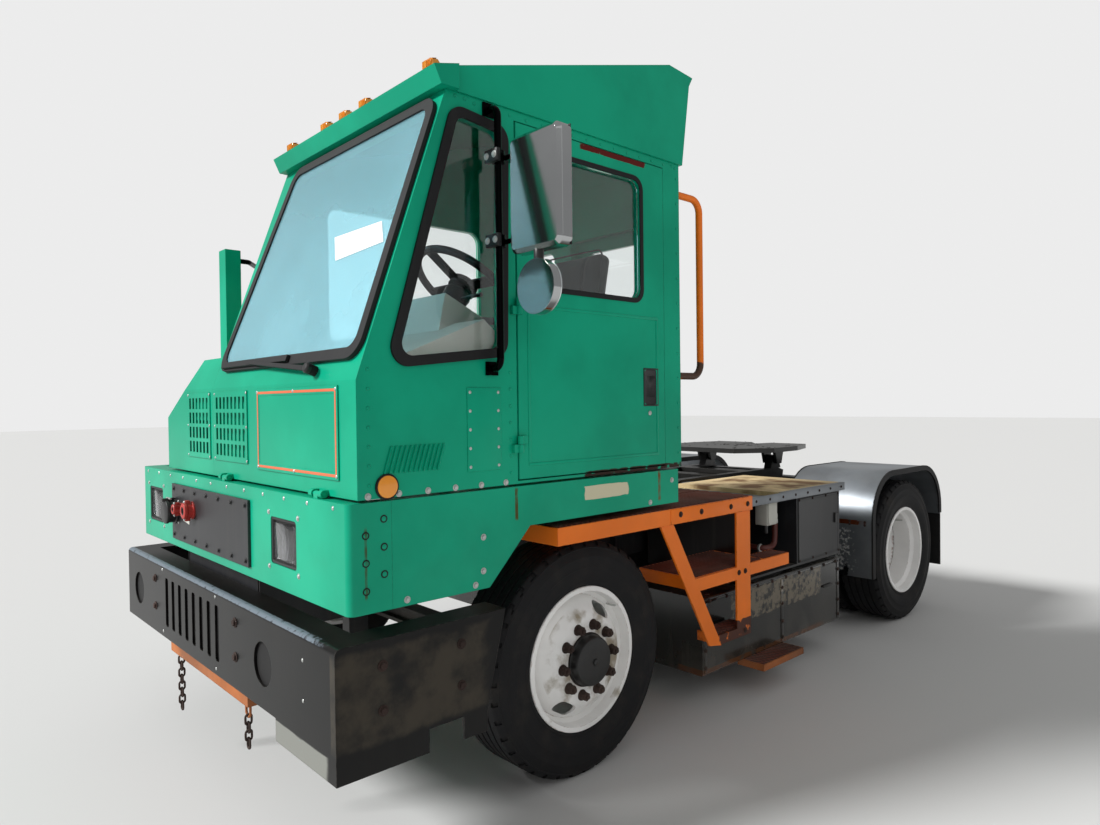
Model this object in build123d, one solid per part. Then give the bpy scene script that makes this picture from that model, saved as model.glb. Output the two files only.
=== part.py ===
from build123d import *
from math import atan2, degrees, hypot
import os

os.makedirs("parts", exist_ok=True)

# Terminal tractor, millimetres. While it is drawn, Y counts from the front axle, front towards -Y,
# the vehicle's left towards +X, Z up from the ground. On export everything moves along Y, so that
# the origin is on the ground at the middle of the overall length.

# Overall
wheelbase = 3200
overhang_front = 1180
overhang_rear = 580
axle_to_middle = (overhang_front - overhang_rear - wheelbase) / 2
run_gap = 0.05
seat_gap = 0.3
move_gap = 6

# Wheels
tyre_od = 970
tyre_width = 270
tyre_wall = 16
tread_half = 112
rim_flange_r = 298.5
bead_r = 286
well_r = 262
rim_half = 114
rim_wall = 9
disc_offset = 150
disc_thick = 12
wheel_x = 1065
axle_z = tyre_od / 2
stud_circle_r = 142.9
stud_count = 10
nut_r = 16
nut_long = 30
hand_hole_r = 30
hand_hole_circle_r = 198
spindle_front_r = 40
spindle_rear_r = 60
hub_cap_long = 42
rear_y = wheelbase
twin_pitch = 2 * disc_offset

# Frame
rail_outer_x = 432
rail_high = 254
rail_wide = 76
rail_wall = 9
rail_top_z = 900
rail_front_y = -1050
rail_rear_y = wheelbase + 500
cross_deep = 120

# Steering
kingpin_x = 900
kingpin_r = 22
kingpin_boss_r = 42
kingpin_boss_high = 110
yoke_thick = 34
beam_drop_z = 395
spring_x = 394
spring_long = 1240
spring_wide = 76
spring_leaf = 14
spring_leaves = 3

# Bumper
bumper_left_x = 1320
bumper_right_x = -972
bumper_top_z = 824
bumper_low_z = 491
bumper_plate = 10
bumper_edge_r = 18
bumper_ledge = 118
bumper_side_top_y = -528
bumper_side_low_y = -612
tow_hole_x = 776
tow_hole_z = 649
tow_hole_r = 78
slot_count = 8
slot_span = 690
slot_wide = 42
slot_high = 222
slot_mid_z = 658
skid_low_z = 413

# Lower body
body_left_x = 1298
body_right_x = -907
fascia_y = -1118
fascia_low_z = 902
seam_z = 1247
fascia_corner_r = 26
sheet = 12
skirt_step_y = -579
skirt_rise_y = -386
skirt_high_z = 1098
skirt_rear_y = 495
lamp_left_x = 822
lamp_right_x = -685
lamp_z = 1071
lamp_wide = 212
lamp_high = 168
plate_right_x = -400
plate_left_x = 525
plate_top_z = 1195
plate_low_z = 940
plate_thick = 10

# Cab
cab_right_x = 42
cab_front_y = -1085
cab_base_z = 1256
brow_z = 1628
brow_rise = 0.355
cab_top_z = 2606
cab_rear_y = 520
cab_wall = 40
floor_thick = 44
glass_thick = 6
rubber_wide = 26
rubber_proud = 16
hinge_pin_r = 8
hinge_eye_r = 13
cab_hinge_y = -1100
cab_hinge_z = 1262
roof_front_y = -699
roof_front_z = 2692
roof_peak_y = 453
roof_peak_z = 3031
roof_tail_y = 619
roof_tail_z = 3018
roof_wall = 30
visor_tip_y = -800
visor_tip_z = 2664
visor_low_y = -772
visor_left_x = 1325
roof_left_x = 1306

# Grilles, each from its right edge to its left edge
grille_hood = (-278, 12)
grille_cab = (68, 430)
grille_low_z = 1325
grille_top_z = 1612

# Hood beside the cab
hood_right_x = -590
hood_top_z = 1762
hood_rear_y = 340
hood_wall = 20

# Doors
door_front_y = -437
door_rear_y = 402
door_low_z = 1272
door_top_z = 2566
door_thick = 40
door_gap = 5
rear_door_right_x = 600
rear_door_left_x = 1215
rear_door_low_z = 1300
rear_door_top_z = 2430
rear_door_thick = 25
rear_door_off = 20
slide_bar_deep = 15
slide_bar_high = 30

# Steps and deck
walk_top_z = 1070
walk_rim = 70
walk_outer_x = 1300
walk_inner_x = 985
walk_front_y = -250
walk_rear_y = 1090
deck_right_x = -450
deck_front_y = 600
plate_grid = 5
rim_thick = 8
mid_step_z = 728
low_step_z = 425
mid_step_inner_x = 950
low_step_inner_x = 1165
ladder_front_y = 377
ladder_foot_y = 730
leg_low_z = 392
leg_wide = 90
leg_plate = 10
landing_rear_y = 1468

# Boxes between the axles
box_outer_x = 1150
box_inner_x = 440
box_front_y = 870
box_rear_y = wheelbase - 900
box_low_z = 172
box_top_z = 560
cabinet_front_y = 1790
cabinet_top_z = 1000
recess_front_y = 1250
board_thick = 28
board_inner_x = 445

# Rear fenders
fender_inner_x = 610
fender_outer_x = 1215
fender_front_y = wheelbase - 580
fender_rear_y = wheelbase + overhang_rear - 12
fender_top_z = 1060
fender_corner_r = 320
fender_sheet = 5
fender_panel_low_z = 376
flap_low_z = 296
flap_thick = 12

# Fifth wheel
boom_pivot_y = wheelbase - 1420
boom_pivot_z = 975
boom_pin_r = 30
arm_x = 300
arm_wide = 60
arm_low_z = 925
arm_top_z = 1030
plate_pivot_y = wheelbase - 250
plate_pivot_z = 1098
coupler_top_z = 1200
coupler_wide = 960
coupler_front_y = wheelbase - 760
coupler_rear_y = wheelbase + 90
coupler_skirt = 34
kingpin_throat_r = 26
throat_mouth = 300
plate_pin_r = 25
cylinder_base_y = wheelbase - 750
cylinder_base_z = 560
cylinder_eye_y = wheelbase - 580
cylinder_eye_z = 930
cylinder_x = 190
motor_front_y = 760
motor_rear_y = boom_pivot_y - 220
cylinder_r = 48
rod_r = 26
cylinder_pin_r = 18
eye_clear = 8

# Mirrors
mirror_tube_r = 13
mirror_tube_x = 1352
mirror_tube_y = -560
mirror_low_z = 1672
mirror_high_z = 2576
head_inner_x = 1405
head_outer_x = 1660
head_top_z = 2450
head_low_z = 2055
head_front_y = -562
head_deep = 56
round_mirror_r = 92
round_mirror_x = 1530
round_mirror_z = 1935
post_right_x = -704
post_left_x = -612
post_front_y = -790
post_rear_y = -712
post_top_z = 2366


def block(x0, x1, y0, y1, z0, z1):
    """A box from its lowest to its highest corner."""
    return Pos((x0 + x1) / 2, (y0 + y1) / 2, (z0 + z1) / 2) * Box(abs(x1 - x0), abs(y1 - y0), abs(z1 - z0))


def outline(points, corner=0):
    """A closed face through the points, its corners rounded."""
    face = make_face(Polyline(*points, close=True))
    if corner:
        face = fillet(face.vertices(), corner)
    return face


def along_x(points_yz, x0, x1, corner=0):
    """An outline in Y and Z, drawn out from x0 to x1."""
    return extrude(Plane.YZ.offset(x0) * outline(points_yz, corner), amount=x1 - x0)


def along_y(points_xz, y0, y1, corner=0):
    """An outline in X and Z, drawn out from y0 to y1."""
    return extrude(Plane.XZ.offset(-y1) * outline(points_xz, corner), amount=y1 - y0)


def along_z(points_xy, z0, z1, corner=0):
    """An outline in X and Y, drawn out from z0 to z1."""
    return extrude(Plane.XY.offset(z0) * outline(points_xy, corner), amount=z1 - z0)


def rect(a0, a1, b0, b1):
    return [(a0, b0), (a1, b0), (a1, b1), (a0, b1)]


def rod_x(x0, x1, y, z, r):
    """A round bar along X."""
    return Pos((x0 + x1) / 2, y, z) * Rot(0, 90, 0) * Cylinder(r, abs(x1 - x0))


def rod_y(y0, y1, x, z, r):
    return Pos(x, (y0 + y1) / 2, z) * Rot(90, 0, 0) * Cylinder(r, abs(y1 - y0))


def rod_z(z0, z1, x, y, r):
    return Pos(x, y, (z0 + z1) / 2) * Cylinder(r, abs(z1 - z0))


def tube(points, r, bend):
    """A round tube along straight runs joined by arcs."""
    path = FilletPolyline(*points, radius=bend)
    start = Plane(origin=path @ 0, z_dir=path % 0)
    return sweep(start * Circle(r), path=path)


def spun(points_xr):
    """An outline in X and radius, turned about the X axis."""
    return revolve(outline(points_xr), Axis.X)


def mirrored(shape):
    """The same shape on the vehicle's right."""
    return mirror(shape, about=Plane.YZ)


nodes = {}


def keep(name, *shapes):
    """Stores a node's solids for export."""
    nodes[name] = list(shapes)


# Tyres and wheels

def tyre_shape():
    """One tyre about the X axis, its middle at X = 0."""
    r = tyre_od / 2
    half = tyre_width / 2
    toe = rim_half - seat_gap
    side = [(toe, bead_r + seat_gap), (toe, 304), (half, 372), (half - 2, 418), (tread_half + 12, 458),
            (tread_half, r - 6), (tread_half - 10, r)]
    inner = [(tread_half - 14, r - 22), (half - tyre_wall, 400), (toe - 12, 320), (toe - 34, bead_r + seat_gap)]
    whole = side + [(-x, y) for x, y in reversed(side)] + [(-x, y) for x, y in inner[::-1]] + inner
    return spun(whole[:len(side) * 2] + [(-x, y) for x, y in reversed(inner)] + inner)


def rim_ring():
    """The rim's rolled section: two flanges, two bead seats and the well between."""
    f = rim_half + rim_wall
    w = rim_wall
    outer = [(f, rim_flange_r), (rim_half, rim_flange_r), (rim_half, bead_r), (74, bead_r - 5), (52, well_r),
             (-52, well_r), (-74, bead_r - 5), (-rim_half, bead_r), (-rim_half, rim_flange_r), (-f, rim_flange_r)]
    inner = [(-f, bead_r - w), (-78, bead_r - w - 6), (-56, well_r - w), (56, well_r - w), (78, bead_r - w - 6),
             (f, bead_r - w)]
    return spun(outer + inner)


def wheel_disc(face_x, well_x):
    """The dished disc from the mounting face at face_x out to the rim's well at well_x."""
    t = disc_thick if face_x > well_x else -disc_thick
    r0 = 110
    r1 = 178
    r2 = well_r - rim_wall + 1
    return spun([(face_x, r0), (face_x, r1), (well_x + t, r2), (well_x, r2), (face_x - t, r1 - 8), (face_x - t, r0)])


def hand_holes(shape, face_x, well_x):
    """Two round hand holes, opposite each other."""
    for angle in (-70, 110):
        drill = Rot(angle, 0, 0) * Pos((face_x + well_x) / 2, 0, hand_hole_circle_r) * Rot(0, 90, 0)
        shape = shape - drill * Cylinder(hand_hole_r, 160)
    return shape


def studs(face_x, out):
    """The ring of wheel nuts on the mounting face, out is +1 or -1."""
    ring = []
    for i in range(stud_count):
        at = Rot(360 / stud_count * i, 0, 0) * Pos(face_x + out * nut_long / 2, 0, stud_circle_r)
        ring.append(at * Rot(0, 90, 0) * extrude(RegularPolygon(nut_r, 6), amount=nut_long / 2, both=True))
    return ring


def front_wheel():
    """Disc, rim and hub of a front wheel about X = 0, its outside towards +X."""
    face = disc_offset - 12
    wheel = rim_ring() + hand_holes(wheel_disc(face, 46), face, 46)
    hub = spun([(40, spindle_front_r + run_gap), (40, 96), (face - disc_thick, 108), (face - disc_thick, 125),
                (face - disc_thick - 1, 125), (face, 125), (face, 90), (face + 8, 84), (face + hub_cap_long, 80),
                (face + hub_cap_long, 0), (face + 10, 0), (face + 10, spindle_front_r + run_gap)])
    wheel = wheel + hub
    for nut in studs(face, 1):
        wheel = wheel + nut
    return wheel


def rear_twin():
    """The two rims of a rear pair about the mounting plane at X = 0, outside towards +X."""
    reach = disc_offset
    outer = Pos(reach, 0, 0) * rim_ring() + hand_holes(wheel_disc(disc_thick, reach - 46), disc_thick, reach - 46)
    inner = Pos(-reach, 0, 0) * rim_ring() + hand_holes(wheel_disc(-disc_thick, -reach + 46), -disc_thick, -reach + 46)
    bore = spindle_rear_r + run_gap
    hub = spun([(-90, bore), (-90, 100), (-20, 112), (40, 112), (40, 104), (96, 96), (104, 88), (104, 0),
                (80, 0), (80, bore)])
    wheel = outer + inner + hub
    for nut in studs(disc_thick, 1):
        wheel = wheel + nut
    return wheel


left_tyre = Pos(wheel_x, 0, axle_z) * tyre_shape()
left_rim = Pos(wheel_x, 0, axle_z) * front_wheel()
keep("tyre_front_left", left_tyre)
keep("tyre_front_right", mirrored(left_tyre))
keep("wheel_front_left", left_rim)
keep("wheel_front_right", mirrored(left_rim))
mount_x = wheel_x - disc_offset
twin = Pos(mount_x, rear_y, axle_z) * rear_twin()
outer_tyre = Pos(wheel_x, rear_y, axle_z) * tyre_shape()
inner_tyre = Pos(wheel_x - twin_pitch, rear_y, axle_z) * tyre_shape()
keep("tyres_rear_left", outer_tyre, inner_tyre)
keep("tyres_rear_right", mirrored(outer_tyre), mirrored(inner_tyre))
keep("wheels_rear_left", twin)
keep("wheels_rear_right", mirrored(twin))


# Knuckles: a yoke round the beam's end, the kingpin through it, and the spindle

def knuckle():
    half = kingpin_boss_high / 2
    top = axle_z + half + 1
    low = axle_z - half - 1
    back_x = kingpin_x + kingpin_boss_r + move_gap
    shape = rod_z(low - yoke_thick, top + yoke_thick, kingpin_x, 0, kingpin_r)
    ear = [(kingpin_x - 34, -36), (kingpin_x - 34, 36), (back_x + 40, 52), (back_x + 40, -52)]
    shape = shape + along_z(ear, top, top + yoke_thick) + along_z(ear, low - yoke_thick, low)
    shape = shape + block(back_x, back_x + 40, -52, 52, low - yoke_thick, top + yoke_thick)
    shape = shape + rod_x(back_x + 10, back_x + 62, 0, axle_z, 88)
    return shape + rod_x(back_x + 50, wheel_x + 110, 0, axle_z, spindle_front_r)


left_knuckle = knuckle()
keep("knuckle_left", left_knuckle)
keep("knuckle_right", mirrored(left_knuckle))


# Front axle: an I-beam dropped between its ends, on two leaf springs

def front_axle():
    half = kingpin_boss_high / 2
    ring = [(kingpin_x - 20, axle_z + 40), (620, beam_drop_z + 55), (-620, beam_drop_z + 55),
            (-(kingpin_x - 20), axle_z + 40), (-(kingpin_x - 20), axle_z - 40), (-600, beam_drop_z - 40),
            (600, beam_drop_z - 40), (kingpin_x - 20, axle_z - 40)]
    beam = along_y(ring, -45, 45)
    groove = [(840, axle_z + 22), (610, beam_drop_z + 36), (-610, beam_drop_z + 36), (-840, axle_z + 22),
              (-840, axle_z - 22), (-590, beam_drop_z - 20), (590, beam_drop_z - 20), (840, axle_z - 22)]
    beam = beam - along_y(groove, 12, 50) - along_y(groove, -50, -12)
    for side in (1, -1):
        boss = rod_z(axle_z - half, axle_z + half, side * kingpin_x, 0, kingpin_boss_r)
        bore = rod_z(axle_z - half - 1, axle_z + half + 1, side * kingpin_x, 0, kingpin_r + run_gap)
        beam = beam + boss - bore
        pad_low = beam_drop_z + 50
        for i in range(spring_leaves):
            long = spring_long / 2 - i * 150
            z = pad_low + (spring_leaves - 1 - i) * spring_leaf
            beam = beam + block(side * spring_x - spring_wide / 2, side * spring_x + spring_wide / 2,
                                -long, long, z, z + spring_leaf)
    return beam


keep("front_axle", front_axle())


# Rear axle: tubes, a round centre and the spindles

def rear_axle():
    tube_r = 72
    shape = rod_x(-650, 650, rear_y, axle_z, tube_r)
    centre = spun([(-230, 60), (-150, 150), (-60, 186), (60, 186), (150, 150), (230, 60), (230, 0), (-230, 0)])
    shape = shape + Pos(0, rear_y, axle_z) * centre
    shape = shape + rod_x(-mount_x - 70, mount_x + 70, rear_y, axle_z, spindle_rear_r)
    nose = rod_y(rear_y - 330, rear_y - 80, 0, axle_z, 95)
    for side in (1, -1):
        x = side * (rail_outer_x - rail_wide / 2)
        shape = shape + block(x - 36, x + 36, rear_y - 70, rear_y + 70, axle_z,
                              rail_top_z - rail_high - seat_gap)
    return shape + nose


keep("rear_axle", rear_axle())


# Frame: two channel rails, cross members, and what the cab, boom and axles bolt to

def frame():
    low = rail_top_z - rail_high
    shape = None
    for side in (1, -1):
        outer = side * rail_outer_x
        inner = side * (rail_outer_x - rail_wide)
        rail = block(inner, outer, rail_front_y, rail_rear_y, low, rail_top_z)
        rail = rail - block(inner - side * 1, outer - side * rail_wall, rail_front_y - 1, rail_rear_y + 1,
                            low + rail_wall, rail_top_z - rail_wall)
        shape = rail if shape is None else shape + rail
        spring_top = beam_drop_z + 50 + spring_leaves * spring_leaf
        for y in (-spring_long / 2, spring_long / 2):
            hanger = block(side * spring_x - 30, side * spring_x + 30, y - 45, y + 45,
                           spring_top + seat_gap, low + 1)
            shape = shape + hanger
        ear = along_x([(boom_pivot_y - 70, rail_top_z - 1), (boom_pivot_y + 70, rail_top_z - 1),
                       (boom_pivot_y + 45, boom_pivot_z + 45), (boom_pivot_y - 45, boom_pivot_z + 45)],
                      min(side * 368, side * 400), max(side * 368, side * 400))
        ear = ear - rod_x(side * 360, side * 410, boom_pivot_y, boom_pivot_z, boom_pin_r + run_gap)
        shape = shape + ear
        shape = shape + block(inner + side * 40, outer - side * 1, cylinder_base_y - 60, cylinder_base_y + 60,
                              cylinder_base_z - 140, low + 40)
        for y in (fascia_y + 160, 380):
            shape = shape + block(side * 396, side * 360, y - 50, y + 50, rail_top_z - 1, cab_base_z - seat_gap)
    cross = rail_outer_x - 20
    # y, low z, high z
    for y, z0, z1 in ((rail_front_y + 60, low, rail_top_z), (700, low + 60, rail_top_z),
                      (boom_pivot_y - 120, low + 60, rail_top_z), (rail_rear_y - 60, low, rail_top_z)):
        shape = shape + block(-cross, cross, y - cross_deep / 2, y + cross_deep / 2, z0, z1)
    base_top = cylinder_base_z - 60
    shape = shape + block(-cross, cross, cylinder_base_y - 60, cylinder_base_y + 60, cylinder_base_z - 140, base_top)
    for side in (1, -1):
        for x in (cylinder_x - 44, cylinder_x + 44):
            ear = along_x([(cylinder_base_y - 50, base_top - 1), (cylinder_base_y + 50, base_top - 1),
                           (cylinder_base_y + 30, cylinder_base_z + 30), (cylinder_base_y - 30, cylinder_base_z + 30)],
                          side * x - 8, side * x + 8)
            shape = shape + ear
        shape = shape + rod_x(side * (cylinder_x - 50), side * (cylinder_x + 50), cylinder_base_y,
                              cylinder_base_z, cylinder_pin_r)
    for side in (1, -1):
        for y in (box_front_y + 130, box_front_y + 630, box_rear_y - 150):
            shape = shape + block(side * (rail_outer_x - 2), side * (box_inner_x + 40), y - 30, y + 30,
                                  low + 40, low + 130)
            shape = shape + block(side * (box_inner_x + 4), side * (box_inner_x + 40), y - 30, y + 30,
                                  box_top_z + seat_gap, low + 130)
        front = fender_front_y + fender_sheet + seat_gap
        rear = fender_rear_y - fender_sheet - seat_gap
        shape = shape + block(side * (rail_outer_x - 2), side * (fender_inner_x + 20), front, front + 60,
                              low + 20, low + 90)
        shape = shape + block(side * (rail_outer_x - 2), side * (fender_inner_x + 20), rear - 110, rear,
                              low + 50, low + 90)
    stay_top = seam_z - sheet - seat_gap
    for y in (fascia_y + 128, 400):
        shape = shape + block(body_right_x + sheet + seat_gap, body_left_x - sheet - seat_gap, y - 20, y + 20,
                              stay_top - 60, stay_top)
    # stays of the bumper and of the fascia
    for side in (1, -1):
        shape = shape + block(side * 350, side * 420, -overhang_front + bumper_plate + seat_gap,
                              rail_front_y + 5, low + 10, low + 150)
        shape = shape + block(side * 360, side * 396, fascia_y + sheet + seat_gap, fascia_y + 120, 1120, 1200)
    return shape


keep("frame", frame())


# Front bumper: bent plate, open behind, with tow holes, slots and skid plates

def bumper():
    front = -overhang_front
    t = bumper_plate
    solid = block(bumper_right_x, bumper_left_x, front, bumper_side_top_y, bumper_low_z, bumper_top_z)
    edges = solid.edges().filter_by(Axis.X).group_by(Axis.Y)[0].group_by(Axis.Z)[-1]
    solid = fillet(edges, bumper_edge_r)
    slope = bumper_side_top_y - bumper_side_low_y
    solid = solid - along_x([(bumper_side_top_y + 1, bumper_top_z), (bumper_side_top_y + 1, bumper_low_z - 1),
                             (bumper_side_top_y - slope, bumper_low_z - 1)],
                            bumper_right_x - 1, bumper_left_x + 1)
    room = block(bumper_right_x + t, bumper_left_x - t, front + t, bumper_side_top_y + 1,
                 bumper_low_z - 1, bumper_top_z - t)
    open_top = block(bumper_right_x + bumper_ledge, bumper_left_x - bumper_ledge, front + bumper_ledge,
                     bumper_side_top_y + 1, bumper_low_z, bumper_top_z + 1)
    lip = block(bumper_right_x + t, bumper_left_x - t, front + t, front + 60, bumper_low_z, bumper_low_z + t)
    shape = solid - room - open_top + lip
    for x in (-tow_hole_x, tow_hole_x):
        shape = shape - rod_y(front - 1, front + t + 1, x, tow_hole_z, tow_hole_r)
    pitch = (slot_span - slot_wide) / (slot_count - 1)
    for i in range(slot_count):
        x = -slot_span / 2 + slot_wide / 2 + i * pitch
        z0 = slot_mid_z - slot_high / 2
        cut = along_y(rect(x - slot_wide / 2, x + slot_wide / 2, z0, z0 + slot_high), front - 1, front + t + 1, 12)
        shape = shape - cut
    skid_top = bumper_low_z + 1
    shape = shape + block(880, bumper_left_x, front, front + t, skid_low_z, skid_top)
    shape = shape + block(bumper_left_x - t, bumper_left_x, front, -852, skid_low_z, skid_top)
    return shape + block(bumper_left_x - t, bumper_left_x, -712, bumper_side_low_y, skid_low_z, skid_top + 30)


keep("front_bumper", bumper())
beam_z0 = bumper_low_z - 46
keep("tow_beam", block(-300, 610, -overhang_front + 8, -overhang_front + 68, beam_z0, bumper_low_z - seat_gap))


# Lower body: the fascia bent round both corners, and the side skirts behind it

def fascia():
    rear = fascia_y + 150
    shape = block(body_right_x, body_left_x, fascia_y, rear, fascia_low_z, seam_z)
    corners = shape.edges().filter_by(Axis.Z).group_by(Axis.Y)[0]
    shape = fillet(corners, fascia_corner_r)
    shape = shape - block(body_right_x + sheet, body_left_x - sheet, fascia_y + sheet, rear + 1,
                          fascia_low_z - 1, seam_z - sheet)
    shape = shape - block(body_right_x + 60, body_left_x - 60, fascia_y + 90, rear + 1, fascia_low_z, seam_z + 1)
    for x in (lamp_left_x, lamp_right_x):
        hole = rect(x - lamp_wide / 2, x + lamp_wide / 2, lamp_z - lamp_high / 2, lamp_z + lamp_high / 2)
        shape = shape - along_y(hole, fascia_y - 1, fascia_y + sheet + 1, 14)
    for x in (220, 1060):
        lug = block(x - 15, x + 15, cab_hinge_y - 9, cab_hinge_y + 9, seam_z - 1, cab_hinge_z)
        shape = shape + lug + rod_x(x - 15, x + 15, cab_hinge_y, cab_hinge_z, 9)
        shape = shape + rod_x(x - 45, x + 45, cab_hinge_y, cab_hinge_z, hinge_pin_r)
    return shape


keep("front_fascia", fascia())
skirt_front_y = fascia_y + 150 + seat_gap
skirt_line = [(skirt_front_y, fascia_low_z), (skirt_step_y, fascia_low_z), (skirt_rise_y, skirt_high_z),
              (skirt_rear_y, skirt_high_z), (skirt_rear_y, seam_z), (skirt_front_y, seam_z)]
left_skirt = along_x(skirt_line, body_left_x - sheet, body_left_x)
left_skirt = left_skirt + block(body_left_x - 70, body_left_x - 1, skirt_front_y, skirt_rear_y, seam_z - sheet, seam_z)
right_skirt = along_x(skirt_line, body_right_x, body_right_x + sheet)
right_skirt = right_skirt + block(body_right_x + 1, hood_right_x + 40, skirt_front_y, skirt_rear_y,
                                  seam_z - sheet, seam_z)
right_fender = block(-1225, body_right_x + 1, -560, 620, 1066, 1066 + sheet)
right_fender = right_fender + block(-1225, -1225 + sheet, -560, 620, 1010, 1070)
right_skirt = right_skirt + right_fender
keep("side_skirts", left_skirt, right_skirt)


# Lamps, and the black service plate with its couplings

def headlamp(x):
    w = lamp_wide / 2 - seat_gap
    h = lamp_high / 2 - seat_gap
    shell = along_y(rect(x - w, x + w, lamp_z - h, lamp_z + h), fascia_y + 2, fascia_y + 60, 13)
    shell = shell - along_y(rect(x - w + 16, x + w - 16, lamp_z - h + 16, lamp_z + h - 16), fascia_y, fascia_y + 30, 8)
    bowl = along_y(rect(x - w + 20, x + w - 20, lamp_z - h + 20, lamp_z + h - 20), fascia_y + 14, fascia_y + 31, 6)
    return shell + bowl


keep("headlamps", headlamp(lamp_left_x), headlamp(lamp_right_x))
plate = block(plate_right_x, plate_left_x, fascia_y - plate_thick - seat_gap, fascia_y - seat_gap, plate_low_z, plate_top_z)
# x, z, radius, length
for x, z, r, long in ((-352, 1070, 44, 46), (-110, 1096, 30, 38), (-250, 1090, 20, 30)):
    plate = plate + rod_y(fascia_y - plate_thick - long, fascia_y - plate_thick, x, z, r)
keep("service_plate", plate)
keep("mirror_post", block(post_right_x, post_left_x, post_front_y, post_rear_y, seam_z + seat_gap, post_top_z)
     - block(post_right_x + 6, post_left_x - 6, post_front_y + 6, post_rear_y - 6, seam_z, post_top_z - 6))


# Cab shell: floor and four walls in one shell, with door opening and windows cut

def windshield_y(z):
    """Y of the raked front at height z."""
    return cab_front_y + (z - brow_z) * brow_rise


cab_side = [(cab_front_y, cab_base_z), (cab_front_y, brow_z), (windshield_y(cab_top_z), cab_top_z),
            (cab_rear_y, cab_top_z), (cab_rear_y, cab_base_z)]
screen_low_z = 1716
screen_top_z = 2560
screen_right_low_x = 108
screen_right_top_x = 205
screen_left_x = 1258
quarter = [(-952, 1692), (-515, 1740), (-500, 2512), (-700, 2534)]
door_window = rect(-330, 250, 1982, 2484)
right_window = [(-560, 1840), (330, 1840), (330, 2480), (-560, 2480)]
rear_window = rect(130, 520, 1640, 2330)
rear_door_window = rect(690, 1125, 1560, 2300)
rear_door_hole = rect(640, 1175, cab_base_z + floor_thick, 2360)


def grown(points, by):
    """The outline moved out by the given distance, corners kept sharp."""
    face = offset(outline(points), amount=by, kind=Kind.INTERSECTION)
    return face.face()


def pane_x(points, x0, x1, by, corner):
    face = grown(points, by) if by else outline(points)
    face = fillet(face.vertices(), corner)
    return extrude(Plane.YZ.offset(x0) * face, amount=x1 - x0)


def pane_y(points, y0, y1, by, corner):
    face = fillet(grown(points, by).vertices(), corner)
    return extrude(Plane.XZ.offset(-y1) * face, amount=y1 - y0)


def screen_plane():
    """The raked front plane: local X along the vehicle's X, local Y up the rake."""
    rake = Vector(0, brow_rise, 1).normalized()
    return Plane(origin=(0, cab_front_y, brow_z), x_dir=(1, 0, 0), z_dir=Vector(1, 0, 0).cross(rake))


def screen_points():
    k = hypot(1, brow_rise)
    low = (screen_low_z - brow_z) * k
    top = (screen_top_z - brow_z) * k
    return [(screen_right_low_x, low), (screen_left_x, low), (screen_left_x, top), (screen_right_top_x, top)]


def screen(by, depth0, depth1, corner):
    """A slab over the windscreen opening, depths measured outwards from the raked face."""
    face = grown(screen_points(), by) if by else outline(screen_points())
    face = fillet(face.vertices(), corner)
    return extrude(screen_plane().offset(depth0) * face, amount=depth1 - depth0)


def cab_shell():
    w = cab_wall
    shape = along_x(cab_side, cab_right_x, body_left_x)
    floor_z = cab_base_z + floor_thick
    inner_front = cab_front_y + w
    room = [(inner_front, floor_z), (inner_front, brow_z), (windshield_y(cab_top_z + 10) + w, cab_top_z + 10),
            (cab_rear_y - w, cab_top_z + 10), (cab_rear_y - w, floor_z)]
    shape = shape - along_x(room, cab_right_x + w, body_left_x - w)
    shape = shape - screen(0, -60, 10, 60)
    shape = shape - pane_x(quarter, body_left_x - w - 10, body_left_x + 10, 0, 45)
    shape = shape - along_x(right_window, cab_right_x - 5, cab_right_x + w + 5, 60)
    shape = shape - along_y(rear_window, cab_rear_y - w - 5, cab_rear_y + 5, 50)
    shape = shape - along_y(rear_door_hole, cab_rear_y - w - 5, cab_rear_y + 5, 30)
    shape = shape - block(grille_cab[0] + 8, grille_cab[1] - 8, cab_front_y - 1, cab_front_y + 26,
                          grille_low_z + 8, grille_top_z - 8)
    g = door_gap
    hole = rect(door_front_y - g, door_rear_y + g, door_low_z - g, door_top_z + g)
    shape = shape - along_x(hole, body_left_x - w - 10, body_left_x + 10)
    bar_z = rear_door_top_z - 20
    shape = shape + block(cab_right_x + 20, rear_door_left_x, cab_rear_y - 1, cab_rear_y + slide_bar_deep,
                          bar_z, bar_z + slide_bar_high)
    for x in (220, 1060):
        for dx in (-34, 34):
            eye = rod_x(x + dx - 12, x + dx + 12, cab_hinge_y, cab_hinge_z, hinge_eye_r)
            eye = eye + block(x + dx - 12, x + dx + 12, cab_hinge_y, cab_front_y + 2, cab_hinge_z, cab_hinge_z + 13)
            shape = shape + eye
    for x in (220, 1060):
        shape = shape - rod_x(x - 50, x - 20, cab_hinge_y, cab_hinge_z, hinge_pin_r + run_gap)
        shape = shape - rod_x(x + 20, x + 50, cab_hinge_y, cab_hinge_z, hinge_pin_r + run_gap)
    for z in door_hinges:
        knuckle_eye = rod_z(z - 30, z, door_hinge_x, door_hinge_y, 11)
        knuckle_eye = knuckle_eye + block(body_left_x - 8, door_hinge_x, door_hinge_y - 30, door_hinge_y - 4, z - 30, z)
        shape = shape + knuckle_eye
        shape = shape - rod_z(z - 40, z + 1, door_hinge_x, door_hinge_y, 6 + run_gap)
    return shape


door_hinge_x = body_left_x + 16
door_hinge_y = door_front_y - 3
door_hinges = (1400, 1900, 2440)
keep("cab_shell", cab_shell())

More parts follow.
